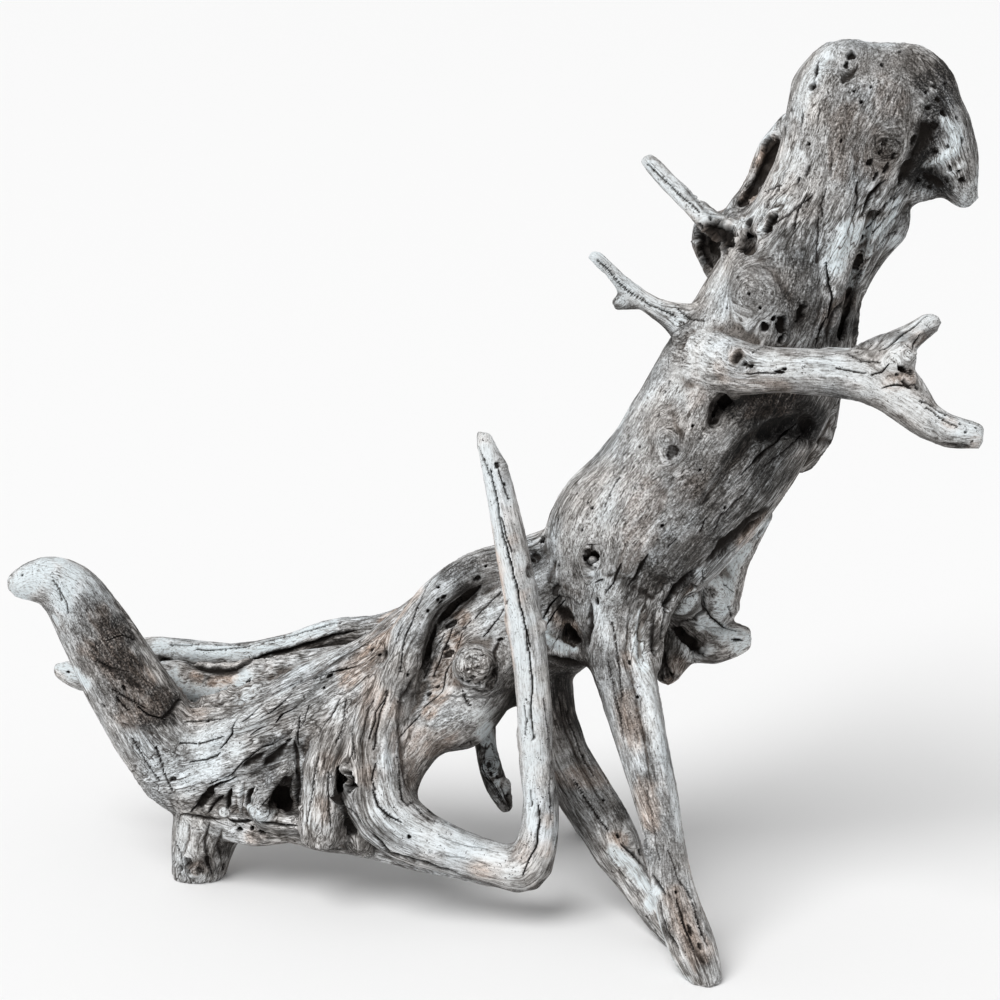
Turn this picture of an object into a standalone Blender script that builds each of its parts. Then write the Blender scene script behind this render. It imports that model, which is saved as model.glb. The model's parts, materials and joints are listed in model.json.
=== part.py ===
"""A weathered driftwood root: a leaning trunk with a hooked crown, a spread of roots, legs and branches.

The wood is drawn on a face-on board, one metre square, that an eye looks at from EYE_DISTANCE away, a little
from above. Each limb is a row of stations on that board, in millimetres:

    (across, up, forward, half width, half depth)

across runs from the board's left edge, up from its bottom edge, and forward from the board towards the eye.
A station's place and sizes are as the eye sees them, so one that lies behind the board is really a little
larger, and one in front of it a little smaller. The limbs are lofted, grown together and thinned, the hollows
are cut, the feet are trimmed flat on the floor, and the wood is sawn through at its main forks, so that every
limb is a solid of its own.
"""

import math

import bmesh
import bpy
from mathutils import Matrix, Vector
from mathutils.bvhtree import BVHTree

MM = 0.001

BOARD_SIDE = 1000 * MM
EYE_DISTANCE = 2200 * MM
EYE_PITCH = math.radians(15)
BOARD_CENTRE = Vector((20.5 * MM, 76 * MM, 394.6 * MM))

RING_SIDES = 18
RING_SPACING = 9 * MM
VOXEL = 4.5 * MM
SMOOTH_STEPS = 4
TARGET_TRIANGLES = 7850
SAW_WIDTH = 0.5 * MM
SAW_SIDES = 32
FLOOR_DEPTH = 60 * MM
SHARP_EDGE = math.radians(40)

TRUNK = [
    (612, 350, 52, 28, 30),
    (610, 395, 38, 50, 50),
    (622, 447, 30, 82, 72),
    (657, 486, 34, 86, 78),
    (694, 530, 42, 87, 80),
    (732, 590, 50, 89, 82),
    (767, 655, 58, 87, 78),
    (795, 731, 72, 71, 70),
    (827, 788, 84, 68, 66),
    (848, 836, 96, 70, 66),
    (868, 884, 108, 82, 70),
    (880, 914, 114, 74, 62),
    (884, 938, 118, 50, 42),
    (886, 950, 118, 22, 20),
]
CROWN_BROW = [
    (802, 906, 100, 15, 26),
    (832, 938, 110, 20, 34),
    (870, 934, 116, 22, 40),
    (912, 931, 120, 22, 40),
    (935, 914, 124, 19, 36),
    (944, 888, 124, 17, 30),
]
CROWN_HOOK = [
    (905, 905, 118, 42, 46),
    (931, 880, 124, 36, 44),
    (951, 845, 124, 27, 36),
    (958, 818, 122, 21, 28),
    (966, 803, 120, 14, 16),
    (973, 796, 120, 9, 9),
]
CROWN_LIP = [
    (880, 826, 96, 26, 30),
    (906, 813, 104, 18, 22),
    (922, 812, 112, 14, 16),
    (938, 811, 118, 11, 13),
]
CROWN_FLAP = [
    (796, 878, 70, 16, 16),
    (776, 860, 58, 12, 13),
    (764, 843, 54, 11, 13),
    (758, 824, 50, 10, 13),
    (747, 804, 46, 10, 13),
    (737, 788, 48, 12, 13),
    (748, 765, 60, 18, 18),
]
CROWN_CLEFT_WALL = [
    (796, 862, 60, 18, 14),
    (778, 836, 40, 18, 12),
    (762, 808, 34, 18, 12),
    (754, 780, 40, 18, 14),
]
CROWN_SHELF = [
    (775, 790, 60, 20, 20),
    (738, 770, 42, 22, 18),
    (708, 766, 32, 19, 15),
    (708, 746, 32, 13, 12),
    (711, 730, 34, 8, 9),
    (714, 718, 38, 5, 6),
]
CROWN_FLUTE = [
    (893, 797, 96, 16, 20),
    (891, 772, 70, 17, 18),
    (869, 744, 54, 16, 17),
    (847, 700, 46, 14, 18),
    (836, 655, 42, 16, 22),
    (826, 600, 36, 14, 20),
    (816, 560, 30, 16, 20),
    (794, 534, 26, 12, 14),
]
CROWN_RIDGE = [
    (850, 912, 156, 10, 14),
    (843, 870, 154, 16, 18),
    (838, 810, 140, 17, 18),
    (835, 745, 128, 16, 18),
    (829, 690, 118, 12, 16),
    (822, 650, 106, 9, 12),
]
CROWN_SHOULDER = [
    (742, 742, 100, 16, 18),
    (754, 716, 116, 26, 22),
    (768, 682, 122, 32, 24),
    (780, 655, 122, 26, 20),
]
TRUNK_KNOT = [
    (664, 576, 92, 16, 20),
    (668, 560, 110, 14, 18),
    (672, 546, 98, 12, 18),
]
TRUNK_FRONT_RIDGE = [
    (716, 612, 112, 22, 22),
    (680, 560, 100, 20, 24),
    (648, 508, 94, 20, 24),
    (622, 452, 84, 22, 24),
    (612, 404, 70, 18, 22),
]
TRUNK_RIGHT_RIDGE = [
    (806, 596, 78, 18, 22),
    (786, 546, 68, 19, 22),
    (744, 494, 62, 18, 22),
    (704, 450, 62, 17, 22),
    (668, 408, 60, 15, 20),
    (650, 368, 62, 12, 18),
]
TRUNK_BACK_RIDGE = [
    (842, 824, 44, 18, 18),
    (800, 742, 14, 22, 24),
    (752, 630, -12, 22, 26),
    (706, 540, -26, 22, 24),
    (664, 470, -32, 22, 24),
    (630, 404, -12, 18, 22),
]
TRUNK_BACK_FOLD = [
    (786, 800, 28, 16, 18),
    (726, 690, 2, 20, 24),
    (670, 580, -14, 20, 24),
    (620, 500, -24, 20, 24),
    (570, 440, -40, 20, 22),
    (520, 396, -62, 18, 20),
]
TRUNK_BACK_KNOT = [
    (762, 690, -8, 22, 22),
    (766, 688, -26, 16, 18),
    (768, 686, -34, 10, 12),
]
ROOT_BACK_RIDGE = [
    (540, 372, -56, 18, 20),
    (464, 326, -74, 22, 22),
    (396, 276, -86, 24, 24),
    (330, 238, -94, 22, 24),
    (270, 214, -92, 18, 20),
    (222, 206, -84, 14, 16),
]
COLLAR_CURL = [
    (560, 392, 40, 12, 18),
    (586, 378, 48, 12, 18),
    (588, 352, 48, 11, 16),
    (564, 344, 40, 11, 16),
    (550, 362, 34, 11, 16),
]
UPPER_TWIG = [
    (770, 745, 70, 22, 22),
    (742, 760, 80, 18, 16),
    (716, 774, 78, 13, 12),
    (693, 794, 72, 11, 10),
    (670, 816, 66, 10, 9),
    (652, 836, 60, 9, 9),
    (644, 844, 58, 7, 7),
]
LOWER_TWIG = [
    (735, 655, 66, 34, 34),
    (700, 670, 72, 29, 28),
    (678, 681, 76, 17, 18),
    (655, 692, 80, 11, 12),
    (633, 708, 84, 9, 9),
    (612, 727, 90, 8, 8),
    (598, 742, 95, 8, 7),
    (589, 747, 96, 6, 6),
]
TWIG_NUB = [
    (642, 701, 82, 8, 8),
    (628, 696, 84, 7, 7),
    (613, 696, 86, 7, 7),
]
FORKED_BRANCH = [
    (706, 638, 92, 36, 32),
    (736, 632, 144, 28, 26),
    (764, 630, 172, 24, 24),
    (800, 629, 186, 23, 23),
    (850, 625, 192, 25, 24),
    (881, 620, 196, 28, 26),
    (905, 602, 202, 25, 23),
    (923, 583, 206, 19, 20),
    (947, 569, 208, 17, 17),
    (971, 565, 209, 15, 15),
    (983, 563, 209, 12, 11),
]
FORK_ARM = [
    (866, 632, 194, 21, 20),
    (893, 652, 196, 17, 15),
    (915, 666, 198, 13, 12),
    (930, 677, 199, 12, 11),
    (940, 680, 199, 9, 9),
]
FORK_KNOT = [
    (886, 640, 200, 14, 18),
    (906, 640, 204, 12, 16),
    (915, 637, 204, 8, 10),
]
FRONT_LEG = [
    (608, 400, 40, 44, 44),
    (617, 352, 58, 34, 34),
    (627, 320, 70, 31, 30),
    (632, 298, 76, 29, 28),
    (641, 260, 86, 26, 26),
    (651, 222, 96, 24, 25),
    (658, 194, 104, 22, 23),
    (664, 160, 112, 20, 22),
    (670, 125, 118, 21, 22),
    (681, 85, 130, 23, 22),
    (693, 52, 140, 24, 22),
    (703, 30, 146, 20, 20),
    (708, 12, 148, 16, 16),
]
LEG_SHIN = [
    (660, 395, 62, 14, 20),
    (652, 360, 80, 11, 18),
    (648, 320, 90, 9, 14),
    (652, 285, 98, 9, 14),
    (661, 240, 106, 8, 14),
]
CROSS_LEG = [
    (540, 335, -6, 32, 30),
    (549, 290, -8, 26, 26),
    (561, 250, -6, 26, 26),
    (579, 216, 0, 27, 26),
    (599, 184, 8, 27, 26),
    (617, 151, 18, 25, 22),
    (633, 125, 30, 20, 18),
    (647, 101, 50, 17, 15),
    (662, 77, 66, 14, 13),
    (677, 58, 84, 12, 11),
    (690, 38, 98, 10, 9),
]
SPLINTER = [
    (606, 150, 22, 12, 10),
    (634, 124, 42, 11, 8),
    (652, 109, 58, 7, 6),
    (663, 102, 64, 4, 4),
]
REAR_LEG = [
    (548, 360, -30, 34, 30),
    (546, 300, -66, 24, 24),
    (556, 248, -112, 22, 23),
    (578, 205, -150, 22, 22),
    (598, 175, -178, 22, 22),
    (606, 150, -192, 20, 20),
]
ROOT_CORE = [
    (600, 420, 10, 62, 56),
    (545, 390, -6, 70, 62),
    (472, 354, -26, 74, 60),
    (404, 308, -40, 70, 58),
    (334, 262, -52, 80, 56),
    (268, 237, -60, 74, 52),
    (214, 230, -62, 70, 46),
    (180, 224, -60, 50, 42),
]
ROOT_RIDGE = [
    (560, 452, 6, 22, 24),
    (520, 440, 22, 21, 22),
    (474, 428, 28, 20, 20),
    (434, 398, 24, 20, 22),
    (409, 361, 22, 21, 24),
    (392, 312, 22, 26, 26),
    (374, 262, 26, 32, 28),
    (372, 215, 34, 36, 30),
    (394, 175, 40, 32, 28),
]
ROOT_ARCH = [
    (546, 364, 4, 36, 40),
    (500, 338, 4, 30, 40),
    (474, 304, 4, 36, 38),
    (452, 290, 4, 42, 36),
    (418, 264, 10, 29, 30),
    (395, 215, 22, 23, 26),
    (402, 180, 32, 22, 22),
]
ROOT_KNOB = [
    (470, 340, 20, 24, 24),
    (476, 332, 44, 20, 18),
    (486, 324, 56, 12, 12),
]
ROOT_SHEET = [
    (440, 388, 10, 14, 18),
    (380, 350, 6, 14, 16),
    (310, 304, -2, 16, 16),
    (250, 278, -14, 14, 16),
    (204, 258, -30, 10, 12),
]
ROOT_FOLD = [
    (400, 330, 16, 12, 16),
    (346, 300, 8, 12, 16),
    (290, 262, -6, 13, 16),
    (240, 238, -16, 12, 14),
    (196, 222, -30, 10, 12),
]
ROOT_WEB = [
    (292, 232, -4, 9, 14),
    (268, 205, -6, 9, 14),
    (258, 186, -10, 9, 14),
    (276, 178, -8, 9, 14),
    (300, 178, 0, 9, 14),
]
ROOT_STUB = [
    (356, 290, 0, 26, 26),
    (332, 240, 14, 25, 26),
    (324, 200, 20, 23, 24),
    (322, 168, 20, 24, 22),
    (322, 154, 18, 18, 16),
]
ROOT_STUB_SIDE = [
    (352, 200, 4, 12, 14),
    (358, 165, 8, 14, 14),
    (362, 150, 8, 11, 11),
]
UNDER_ROOT = [
    (212, 186, -40, 22, 24),
    (254, 167, -30, 14, 14),
    (290, 169, -22, 12, 14),
    (320, 161, -16, 12, 14),
    (370, 152, -4, 11, 12),
    (420, 138, 6, 10, 12),
    (460, 129, 18, 9, 10),
    (506, 118, 30, 8, 10),
]
ELBOW_BRANCH = [
    (380, 190, 38, 33, 30),
    (408, 168, 42, 30, 28),
    (450, 150, 44, 24, 24),
    (495, 136, 46, 22, 23),
    (525, 133, 48, 25, 24),
    (538, 160, 54, 21, 22),
    (541, 198, 60, 18, 20),
    (536, 240, 70, 17, 18),
    (534, 300, 88, 18, 18),
    (526, 372, 112, 18, 18),
    (514, 440, 130, 17, 17),
    (503, 496, 142, 15, 15),
    (496, 528, 150, 14, 13),
    (487, 552, 154, 10, 10),
    (484, 568, 156, 7, 7),
]
NECK = [
    (226, 232, -62, 46, 44),
    (188, 236, -60, 50, 42),
    (158, 266, -52, 43, 40),
    (120, 326, -38, 40, 38),
    (88, 381, -24, 34, 34),
    (72, 406, -14, 31, 31),
    (50, 419, -6, 26, 26),
    (25, 417, 0, 18, 18),
    (10, 411, 0, 10, 10),
]
UPPER_BACK_ROOT = [
    (420, 376, -70, 24, 24),
    (378, 369, -100, 16, 17),
    (334, 368, -122, 14, 15),
    (290, 353, -130, 14, 14),
    (240, 344, -134, 13, 14),
    (190, 348, -146, 13, 14),
    (152, 351, -156, 13, 13),
    (132, 350, -160, 9, 9),
]
LOWER_BACK_ROOT = [
    (350, 330, -66, 26, 24),
    (300, 325, -76, 24, 20),
    (256, 319, -86, 19, 16),
    (214, 317, -98, 17, 14),
    (168, 318, -112, 14, 13),
    (120, 320, -120, 14, 12),
    (86, 323, -122, 15, 13),
    (66, 330, -124, 13, 11),
    (54, 332, -124, 7, 7),
]
FOOT_STUB = [
    (222, 215, -60, 40, 40),
    (209, 180, -66, 36, 34),
    (202, 150, -72, 31, 29),
    (198, 125, -78, 27, 24),
    (196, 102, -80, 25, 22),
]
HANGING_SPUR = [
    (478, 306, -50, 20, 18),
    (484, 272, -62, 12, 12),
    (487, 246, -62, 12, 11),
    (495, 218, -58, 12, 11),
    (504, 200, -54, 10, 9),
    (508, 188, -52, 7, 6),
]
FLANGE_ARM = [
    (650, 430, 0, 34, 30),
    (684, 412, -28, 34, 26),
    (708, 392, -46, 34, 22),
    (722, 376, -50, 24, 18),
]
FLANGE_FIN = [
    (700, 370, -48, 24, 18),
    (716, 405, -54, 25, 16),
    (731, 442, -54, 20, 14),
    (749, 472, -50, 17, 13),
    (764, 488, -46, 12, 10),
    (770, 493, -44, 8, 7),
]
FLANGE_FINGER = [
    (690, 360, -44, 20, 18),
    (714, 353, -38, 18, 15),
    (740, 361, -34, 16, 12),
    (752, 362, -32, 11, 8),
]
FLANGE_HEEL = [
    (700, 390, -46, 30, 20),
    (680, 372, -44, 28, 20),
    (672, 346, -42, 22, 17),
    (667, 326, -40, 15, 10),
    (664, 316, -40, 8, 6),
]

LIMBS = [
    TRUNK,
    CROWN_BROW,
    CROWN_HOOK,
    CROWN_LIP,
    CROWN_FLAP,
    CROWN_CLEFT_WALL,
    CROWN_SHELF,
    CROWN_FLUTE,
    CROWN_RIDGE,
    CROWN_SHOULDER,
    TRUNK_KNOT,
    TRUNK_FRONT_RIDGE,
    TRUNK_RIGHT_RIDGE,
    TRUNK_BACK_RIDGE,
    TRUNK_BACK_FOLD,
    TRUNK_BACK_KNOT,
    ROOT_BACK_RIDGE,
    COLLAR_CURL,
    UPPER_TWIG,
    LOWER_TWIG,
    TWIG_NUB,
    FORKED_BRANCH,
    FORK_ARM,
    FORK_KNOT,
    FRONT_LEG,
    LEG_SHIN,
    CROSS_LEG,
    SPLINTER,
    REAR_LEG,
    ROOT_CORE,
    ROOT_RIDGE,
    ROOT_ARCH,
    ROOT_KNOB,
    ROOT_SHEET,
    ROOT_FOLD,
    ROOT_WEB,
    ROOT_STUB,
    ROOT_STUB_SIDE,
    UNDER_ROOT,
    ELBOW_BRANCH,
    NECK,
    UPPER_BACK_ROOT,
    LOWER_BACK_ROOT,
    FOOT_STUB,
    HANGING_SPUR,
    FLANGE_ARM,
    FLANGE_FIN,
    FLANGE_FINGER,
    FLANGE_HEEL,
]

CROWN_SOCKET = [
    (934, 868, 186, 12, 18),
    (928, 846, 176, 19, 24),
    (926, 824, 164, 15, 20),
    (932, 808, 150, 8, 14),
]
CROWN_BORE = [
    (849, 944, 152, 7, 12),
    (850, 936, 166, 9, 14),
]
CROWN_HOLLOW = [
    (836, 920, 178, 7, 14),
    (846, 930, 172, 11, 14),
    (850, 938, 160, 7, 12),
]
TWIG_HOLLOW = [
    (752, 768, 112, 9, 18),
    (748, 752, 112, 11, 20),
    (756, 744, 116, 7, 16),
]
SHELF_HOLLOW = [
    (726, 776, 62, 7, 18),
    (716, 758, 56, 10, 18),
    (712, 742, 50, 7, 16),
]
BRANCH_HOLLOW = [
    (730, 602, 134, 11, 20),
    (718, 592, 128, 10, 22),
    (711, 572, 120, 5, 16),
]
SHADED_FURROW = [
    (816, 566, 92, 12, 16),
    (788, 574, 112, 14, 14),
    (756, 560, 124, 12, 12),
    (728, 530, 124, 9, 10),
    (700, 492, 118, 6, 8),
]
FLUTE_FURROW = [
    (874, 790, 140, 6, 12),
    (862, 750, 124, 7, 14),
    (846, 700, 112, 7, 14),
    (838, 660, 108, 6, 14),
]
PEG_HOLE = [
    (592, 446, 92, 10, 16),
    (593, 440, 86, 9, 20),
]
CURL_HOLLOW = [
    (572, 370, 58, 10, 16),
    (570, 362, 44, 8, 16),
]
BODY_FURROW = [
    (478, 414, 46, 6, 12),
    (456, 394, 44, 9, 16),
    (438, 378, 40, 8, 18),
    (428, 350, 34, 7, 18),
    (426, 326, 30, 5, 14),
]
SHEET_FURROW = [
    (400, 352, 26, 6, 12),
    (350, 322, 18, 7, 14),
    (294, 284, 6, 7, 14),
    (240, 256, -8, 6, 12),
]
WEB_HOLLOW = [
    (290, 224, 2, 7, 16),
    (282, 204, -2, 12, 18),
    (276, 192, -8, 10, 16),
]
FOLD_HOLE = [
    (346, 236, 40, 8, 14),
    (345, 222, 34, 9, 18),
    (342, 206, 30, 6, 14),
]
SLIT_HOLLOW = [
    (212, 208, -12, 5, 14),
    (205, 198, -18, 5, 14),
]
SOLE_HOLLOW = [
    (206, 142, -40, 5, 12),
    (203, 128, -44, 8, 12),
]
FLANGE_HOLLOW = [
    (676, 372, -22, 7, 12),
    (690, 360, -22, 8, 12),
    (706, 350, -20, 6, 10),
]

HOLLOWS = [
    CROWN_SOCKET,
    CROWN_BORE,
    CROWN_HOLLOW,
    TWIG_HOLLOW,
    SHELF_HOLLOW,
    BRANCH_HOLLOW,
    SHADED_FURROW,
    FLUTE_FURROW,
    PEG_HOLE,
    CURL_HOLLOW,
    BODY_FURROW,
    SHEET_FURROW,
    WEB_HOLLOW,
    FOLD_HOLE,
    SLIT_HOLLOW,
    SOLE_HOLLOW,
    FLANGE_HOLLOW,
]

# Each fork: the limb that is sawn off, its stations, how many stations along it the saw goes through, and how far
# the cut reaches past the limb's own half width and half depth.
FORKS = [
    ("root_flare", ROOT_CORE, 0.92, 1.3),
    ("front_leg", FRONT_LEG, 2.0, 1.6),
    ("cross_leg", CROSS_LEG, 1.4, 1.3),
    ("rear_leg", REAR_LEG, 1.5, 1.35),
    ("elbow_branch", ELBOW_BRANCH, 1.5, 2.5),
    ("neck_root", NECK, 2.6, 1.3),
    ("foot_stub", FOOT_STUB, 1.85, 1.3),
    ("upper_back_root", UPPER_BACK_ROOT, 1.6, 1.5),
    ("lower_back_root", LOWER_BACK_ROOT, 3.4, 1.5),
    ("hanging_spur", HANGING_SPUR, 1.3, 1.5),
    ("forked_branch", FORKED_BRANCH, 2.3, 1.35),
    ("upper_twig", UPPER_TWIG, 1.7, 1.35),
    ("lower_twig", LOWER_TWIG, 2.5, 1.4),
]
STATIONS_PAST_SAW = 0.8
TRUNK_MARK = (TRUNK, 4.0)

# The wood's colour on each limb: red, green, blue and roughness.
FINISHES = {
    "trunk": (0.36, 0.34, 0.33, 0.85),
    "root_flare": (0.38, 0.36, 0.34, 0.88),
    "front_leg": (0.46, 0.44, 0.42, 0.82),
    "cross_leg": (0.40, 0.37, 0.35, 0.85),
    "rear_leg": (0.37, 0.35, 0.33, 0.88),
    "elbow_branch": (0.50, 0.48, 0.45, 0.80),
    "neck_root": (0.47, 0.46, 0.44, 0.84),
    "foot_stub": (0.36, 0.34, 0.33, 0.90),
    "upper_back_root": (0.55, 0.54, 0.52, 0.80),
    "lower_back_root": (0.54, 0.52, 0.50, 0.82),
    "hanging_spur": (0.34, 0.33, 0.32, 0.90),
    "forked_branch": (0.52, 0.50, 0.47, 0.80),
    "upper_twig": (0.44, 0.43, 0.42, 0.82),
    "lower_twig": (0.47, 0.46, 0.44, 0.82),
}


def seen_scale(forward):
    """How large a thing is really, for each millimetre that it measures on the board."""
    return 1 - forward * MM / EYE_DISTANCE


def board_axes():
    """The board's directions across, up and forward, in the world."""
    up = Vector((0, math.sin(EYE_PITCH), math.cos(EYE_PITCH)))
    forward = Vector((0, -math.cos(EYE_PITCH), math.sin(EYE_PITCH)))
    return Vector((1, 0, 0)), up, forward


def placed(across, up, forward):
    """The world point that the eye sees at (across, up), in millimetres, that far in front of the board."""
    right, upward, towards_eye = board_axes()
    scale = seen_scale(forward)
    shift = right * (across * MM - BOARD_SIDE / 2) + upward * (up * MM - BOARD_SIDE / 2)
    return BOARD_CENTRE + shift * scale + towards_eye * forward * MM


def smooth_between(before, start, end, after, share):
    """A Catmull-Rom value between start and end."""
    return tuple(
        0.5
        * (
            2 * b
            + (c - a) * share
            + (2 * a - 5 * b + 4 * c - d) * share**2
            + (3 * b - a - 3 * c + d) * share**3
        )
        for a, b, c, d in zip(before, start, end, after)
    )


def station_at(stations, place):
    """The station that lies place stations along a limb, on its smooth curve."""
    padded = [stations[0], *stations, stations[-1]]
    index = min(int(place), len(stations) - 2)
    return smooth_between(*padded[index : index + 4], place - index)


def heading_at(stations, place):
    """The limb's direction there, in the world."""
    step = 0.05
    ahead, behind = station_at(stations, place + step), station_at(stations, place - step)
    return (placed(*ahead[:3]) - placed(*behind[:3])).normalized()


def dense(stations):
    """The stations of a smooth curve through a limb's own, about RING_SPACING apart."""
    rows = []
    for index, (start, end) in enumerate(zip(stations, stations[1:])):
        length = (placed(*end[:3]) - placed(*start[:3])).length
        steps = max(1, round(length / RING_SPACING))
        rows += [station_at(stations, index + step / steps) for step in range(steps)]
    return [*rows, stations[-1]]


def add_limb(mesh, stations):
    """Lofts one limb into mesh: oval rings square to its line, and a lid on each end."""
    rows = dense(stations)
    centres = [placed(*row[:3]) for row in rows]
    rings = []
    for index, row in enumerate(rows):
        ahead = centres[min(index + 1, len(rows) - 1)] - centres[max(index - 1, 0)]
        side, deep = ring_axes(ahead)
        wide, thick = (size * MM * seen_scale(row[2]) for size in row[3:])
        turns = [2 * math.pi * step / RING_SIDES for step in range(RING_SIDES)]
        ring = [centres[index] + side * wide * math.cos(turn) + deep * thick * math.sin(turn) for turn in turns]
        rings.append([mesh.verts.new(point) for point in ring])
    for ring, following in zip(rings, rings[1:]):
        for step in range(RING_SIDES):
            after = (step + 1) % RING_SIDES
            mesh.faces.new((ring[step], ring[after], following[after], following[step]))
    mesh.faces.new(reversed(rings[0]))
    mesh.faces.new(rings[-1])


def ring_axes(ahead):
    """The directions of a ring's half width and half depth, for a limb that runs towards ahead."""
    side = ahead.cross(board_axes()[2]).normalized()
    return side, side.cross(ahead).normalized()


def object_from(mesh, name, collection):
    """A new object made from a bmesh, in a collection."""
    bmesh.ops.recalc_face_normals(mesh, faces=mesh.faces)
    data = bpy.data.meshes.new(name)
    mesh.to_mesh(data)
    mesh.free()
    made = bpy.data.objects.new(name, data)
    collection.objects.link(made)
    return made


def bake_modifiers(obj):
    """Replaces the object's mesh by the one that its modifiers make."""
    graph = bpy.context.evaluated_depsgraph_get()
    data = bpy.data.meshes.new_from_object(obj.evaluated_get(graph))
    obj.modifiers.clear()
    obj.data = data


def cut_away(wood, cutters):
    """Takes each cutter out of the wood."""
    for cutter in cutters:
        cutter.hide_render = True
        cutter.display_type = "WIRE"
        cut = wood.modifiers.new(cutter.name, "BOOLEAN")
        cut.operation = "DIFFERENCE"
        cut.solver = "EXACT"
        cut.object = cutter
    bake_modifiers(wood)


def grown_wood(collection):
    """All the limbs, grown into one body and smoothed."""
    mesh = bmesh.new()
    for stations in LIMBS:
        add_limb(mesh, stations)
    wood = object_from(mesh, "driftwood", collection)
    remesh = wood.modifiers.new("grow", "REMESH")
    remesh.mode = "VOXEL"
    remesh.voxel_size = VOXEL
    smooth = wood.modifiers.new("smooth", "SMOOTH")
    smooth.factor = 0.5
    smooth.iterations = SMOOTH_STEPS
    bake_modifiers(wood)
    return wood


def thin_out(wood):
    """Brings the wood down to about TARGET_TRIANGLES, keeping its lumps and hollows."""
    wood.data.calc_loop_triangles()
    thin = wood.modifiers.new("thin", "DECIMATE")
    thin.ratio = TARGET_TRIANGLES / len(wood.data.loop_triangles)
    thin.use_collapse_triangulate = True
    bake_modifiers(wood)


def hollow_cutters(collection):
    """One cutter for each hollow, bore and furrow."""
    cutters = []
    for index, stations in enumerate(HOLLOWS):
        mesh = bmesh.new()
        add_limb(mesh, stations)
        cutters.append(object_from(mesh, f"hollow_{index}", collection))
    return cutters


def floor_cutter(collection):
    """A slab under the floor, which trims the feet flat."""
    mesh = bmesh.new()
    size = Matrix.Diagonal((2 * BOARD_SIDE, 2 * BOARD_SIDE, FLOOR_DEPTH, 1))
    bmesh.ops.create_cube(mesh, size=1, matrix=Matrix.Translation((0, 0, -FLOOR_DEPTH / 2)) @ size)
    return object_from(mesh, "floor", collection)


def saw_cutter(name, stations, place, reach, collection):
    """The thin oval disc that a saw takes out of one limb."""
    across, up, forward, wide, thick = station_at(stations, place)
    ahead = heading_at(stations, place)
    side, deep = ring_axes(ahead)
    axes = Matrix((side, deep, ahead)).transposed().to_4x4()
    sizes = [size * reach * MM * seen_scale(forward) for size in (wide, thick)]
    mesh = bmesh.new()
    bmesh.ops.create_cone(
        mesh,
        cap_ends=True,
        segments=SAW_SIDES,
        radius1=1,
        radius2=1,
        depth=1,
        matrix=Matrix.Translation(placed(across, up, forward)) @ axes @ Matrix.Diagonal((*sizes, SAW_WIDTH, 1)),
    )
    return object_from(mesh, f"saw_{name}", collection)


def loose_pieces(wood):
    """The wood's separate solids, each as a bmesh."""
    whole = bmesh.new()
    whole.from_mesh(wood.data)
    left = set(whole.verts)
    groups = []
    while left:
        reached, edge = set(), [left.pop()]
        while edge:
            vert = edge.pop()
            reached.add(vert)
            beyond = [link.other_vert(vert) for link in vert.link_edges]
            found = [other for other in beyond if other in left]
            left.difference_update(found)
            edge += found
        groups.append({vert.index for vert in reached})
    whole.free()
    pieces = []
    for group in groups:
        piece = bmesh.new()
        piece.from_mesh(wood.data)
        bmesh.ops.delete(piece, geom=[vert for vert in piece.verts if vert.index not in group], context="VERTS")
        pieces.append(piece)
    return pieces


def depth_inside(piece, point):
    """How deep a point lies inside a solid, or infinity outside it."""
    place, normal, _, distance = BVHTree.FromBMesh(piece).find_nearest(point)
    return distance if (point - place).dot(normal) < 0 else math.inf


def wood_material(name):
    """The wood's plain material on one limb."""
    red, green, blue, rough = FINISHES[name]
    material = bpy.data.materials.new(f"{name}_wood")
    material.use_nodes = True
    shader = material.node_tree.nodes["Principled BSDF"]
    shader.inputs["Base Color"].default_value = (red, green, blue, 1)
    shader.inputs["Roughness"].default_value = rough
    shader.inputs["Metallic"].default_value = 0
    return material


def main():
    """Builds the driftwood, sawn apart at its main forks."""
    for old in list(bpy.data.objects):
        bpy.data.objects.remove(old)
    parts = bpy.data.collections.new("driftwood")
    cutters = bpy.data.collections.new("driftwood_cutters")
    for collection in (parts, cutters):
        bpy.context.scene.collection.children.link(collection)
    wood = grown_wood(parts)
    cut_away(wood, hollow_cutters(cutters))
    thin_out(wood)
    saws = [saw_cutter(*fork, cutters) for fork in FORKS]
    cut_away(wood, [floor_cutter(cutters), *saws])
    marks = {name: (stations, place + STATIONS_PAST_SAW) for name, stations, place, _ in FORKS}
    marks["trunk"] = TRUNK_MARK
    pieces = loose_pieces(wood)
    bpy.data.objects.remove(wood)
    for name, mark in marks.items():
        point = placed(*station_at(*mark)[:3])
        piece = min(pieces, key=lambda solid: depth_inside(solid, point))
        pieces.remove(piece)
        limb = object_from(piece, name, parts)
        limb.data.materials.clear()
        limb.data.materials.append(wood_material(name))
        limb.data.shade_smooth()
        limb.data.set_sharp_from_angle(angle=SHARP_EDGE)


main()
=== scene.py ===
"""Weathered driftwood: a leaning trunk with a hooked crown, a spread of roots, legs and bare branches.

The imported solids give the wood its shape. They are grown into one skin, which is refined where a hole, a
crack or a knot needs it, pressed into ridges and furrows along the grain, and parted again at the forks.
Every place on the wood is given on a board, one metre square, that the photograph's eye looks at face on:
across from its left edge and down from its top edge, in millimetres. Marks are planned in rows of numbers,
in the order of their fields; the numbers of one place stand close together.
"""

from __future__ import annotations

import itertools
import json
import logging
import math
from dataclasses import dataclass, field
from enum import Enum

import bpy
import numpy as np
from mathutils import Matrix, Vector
from mathutils.bvhtree import BVHTree

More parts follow.
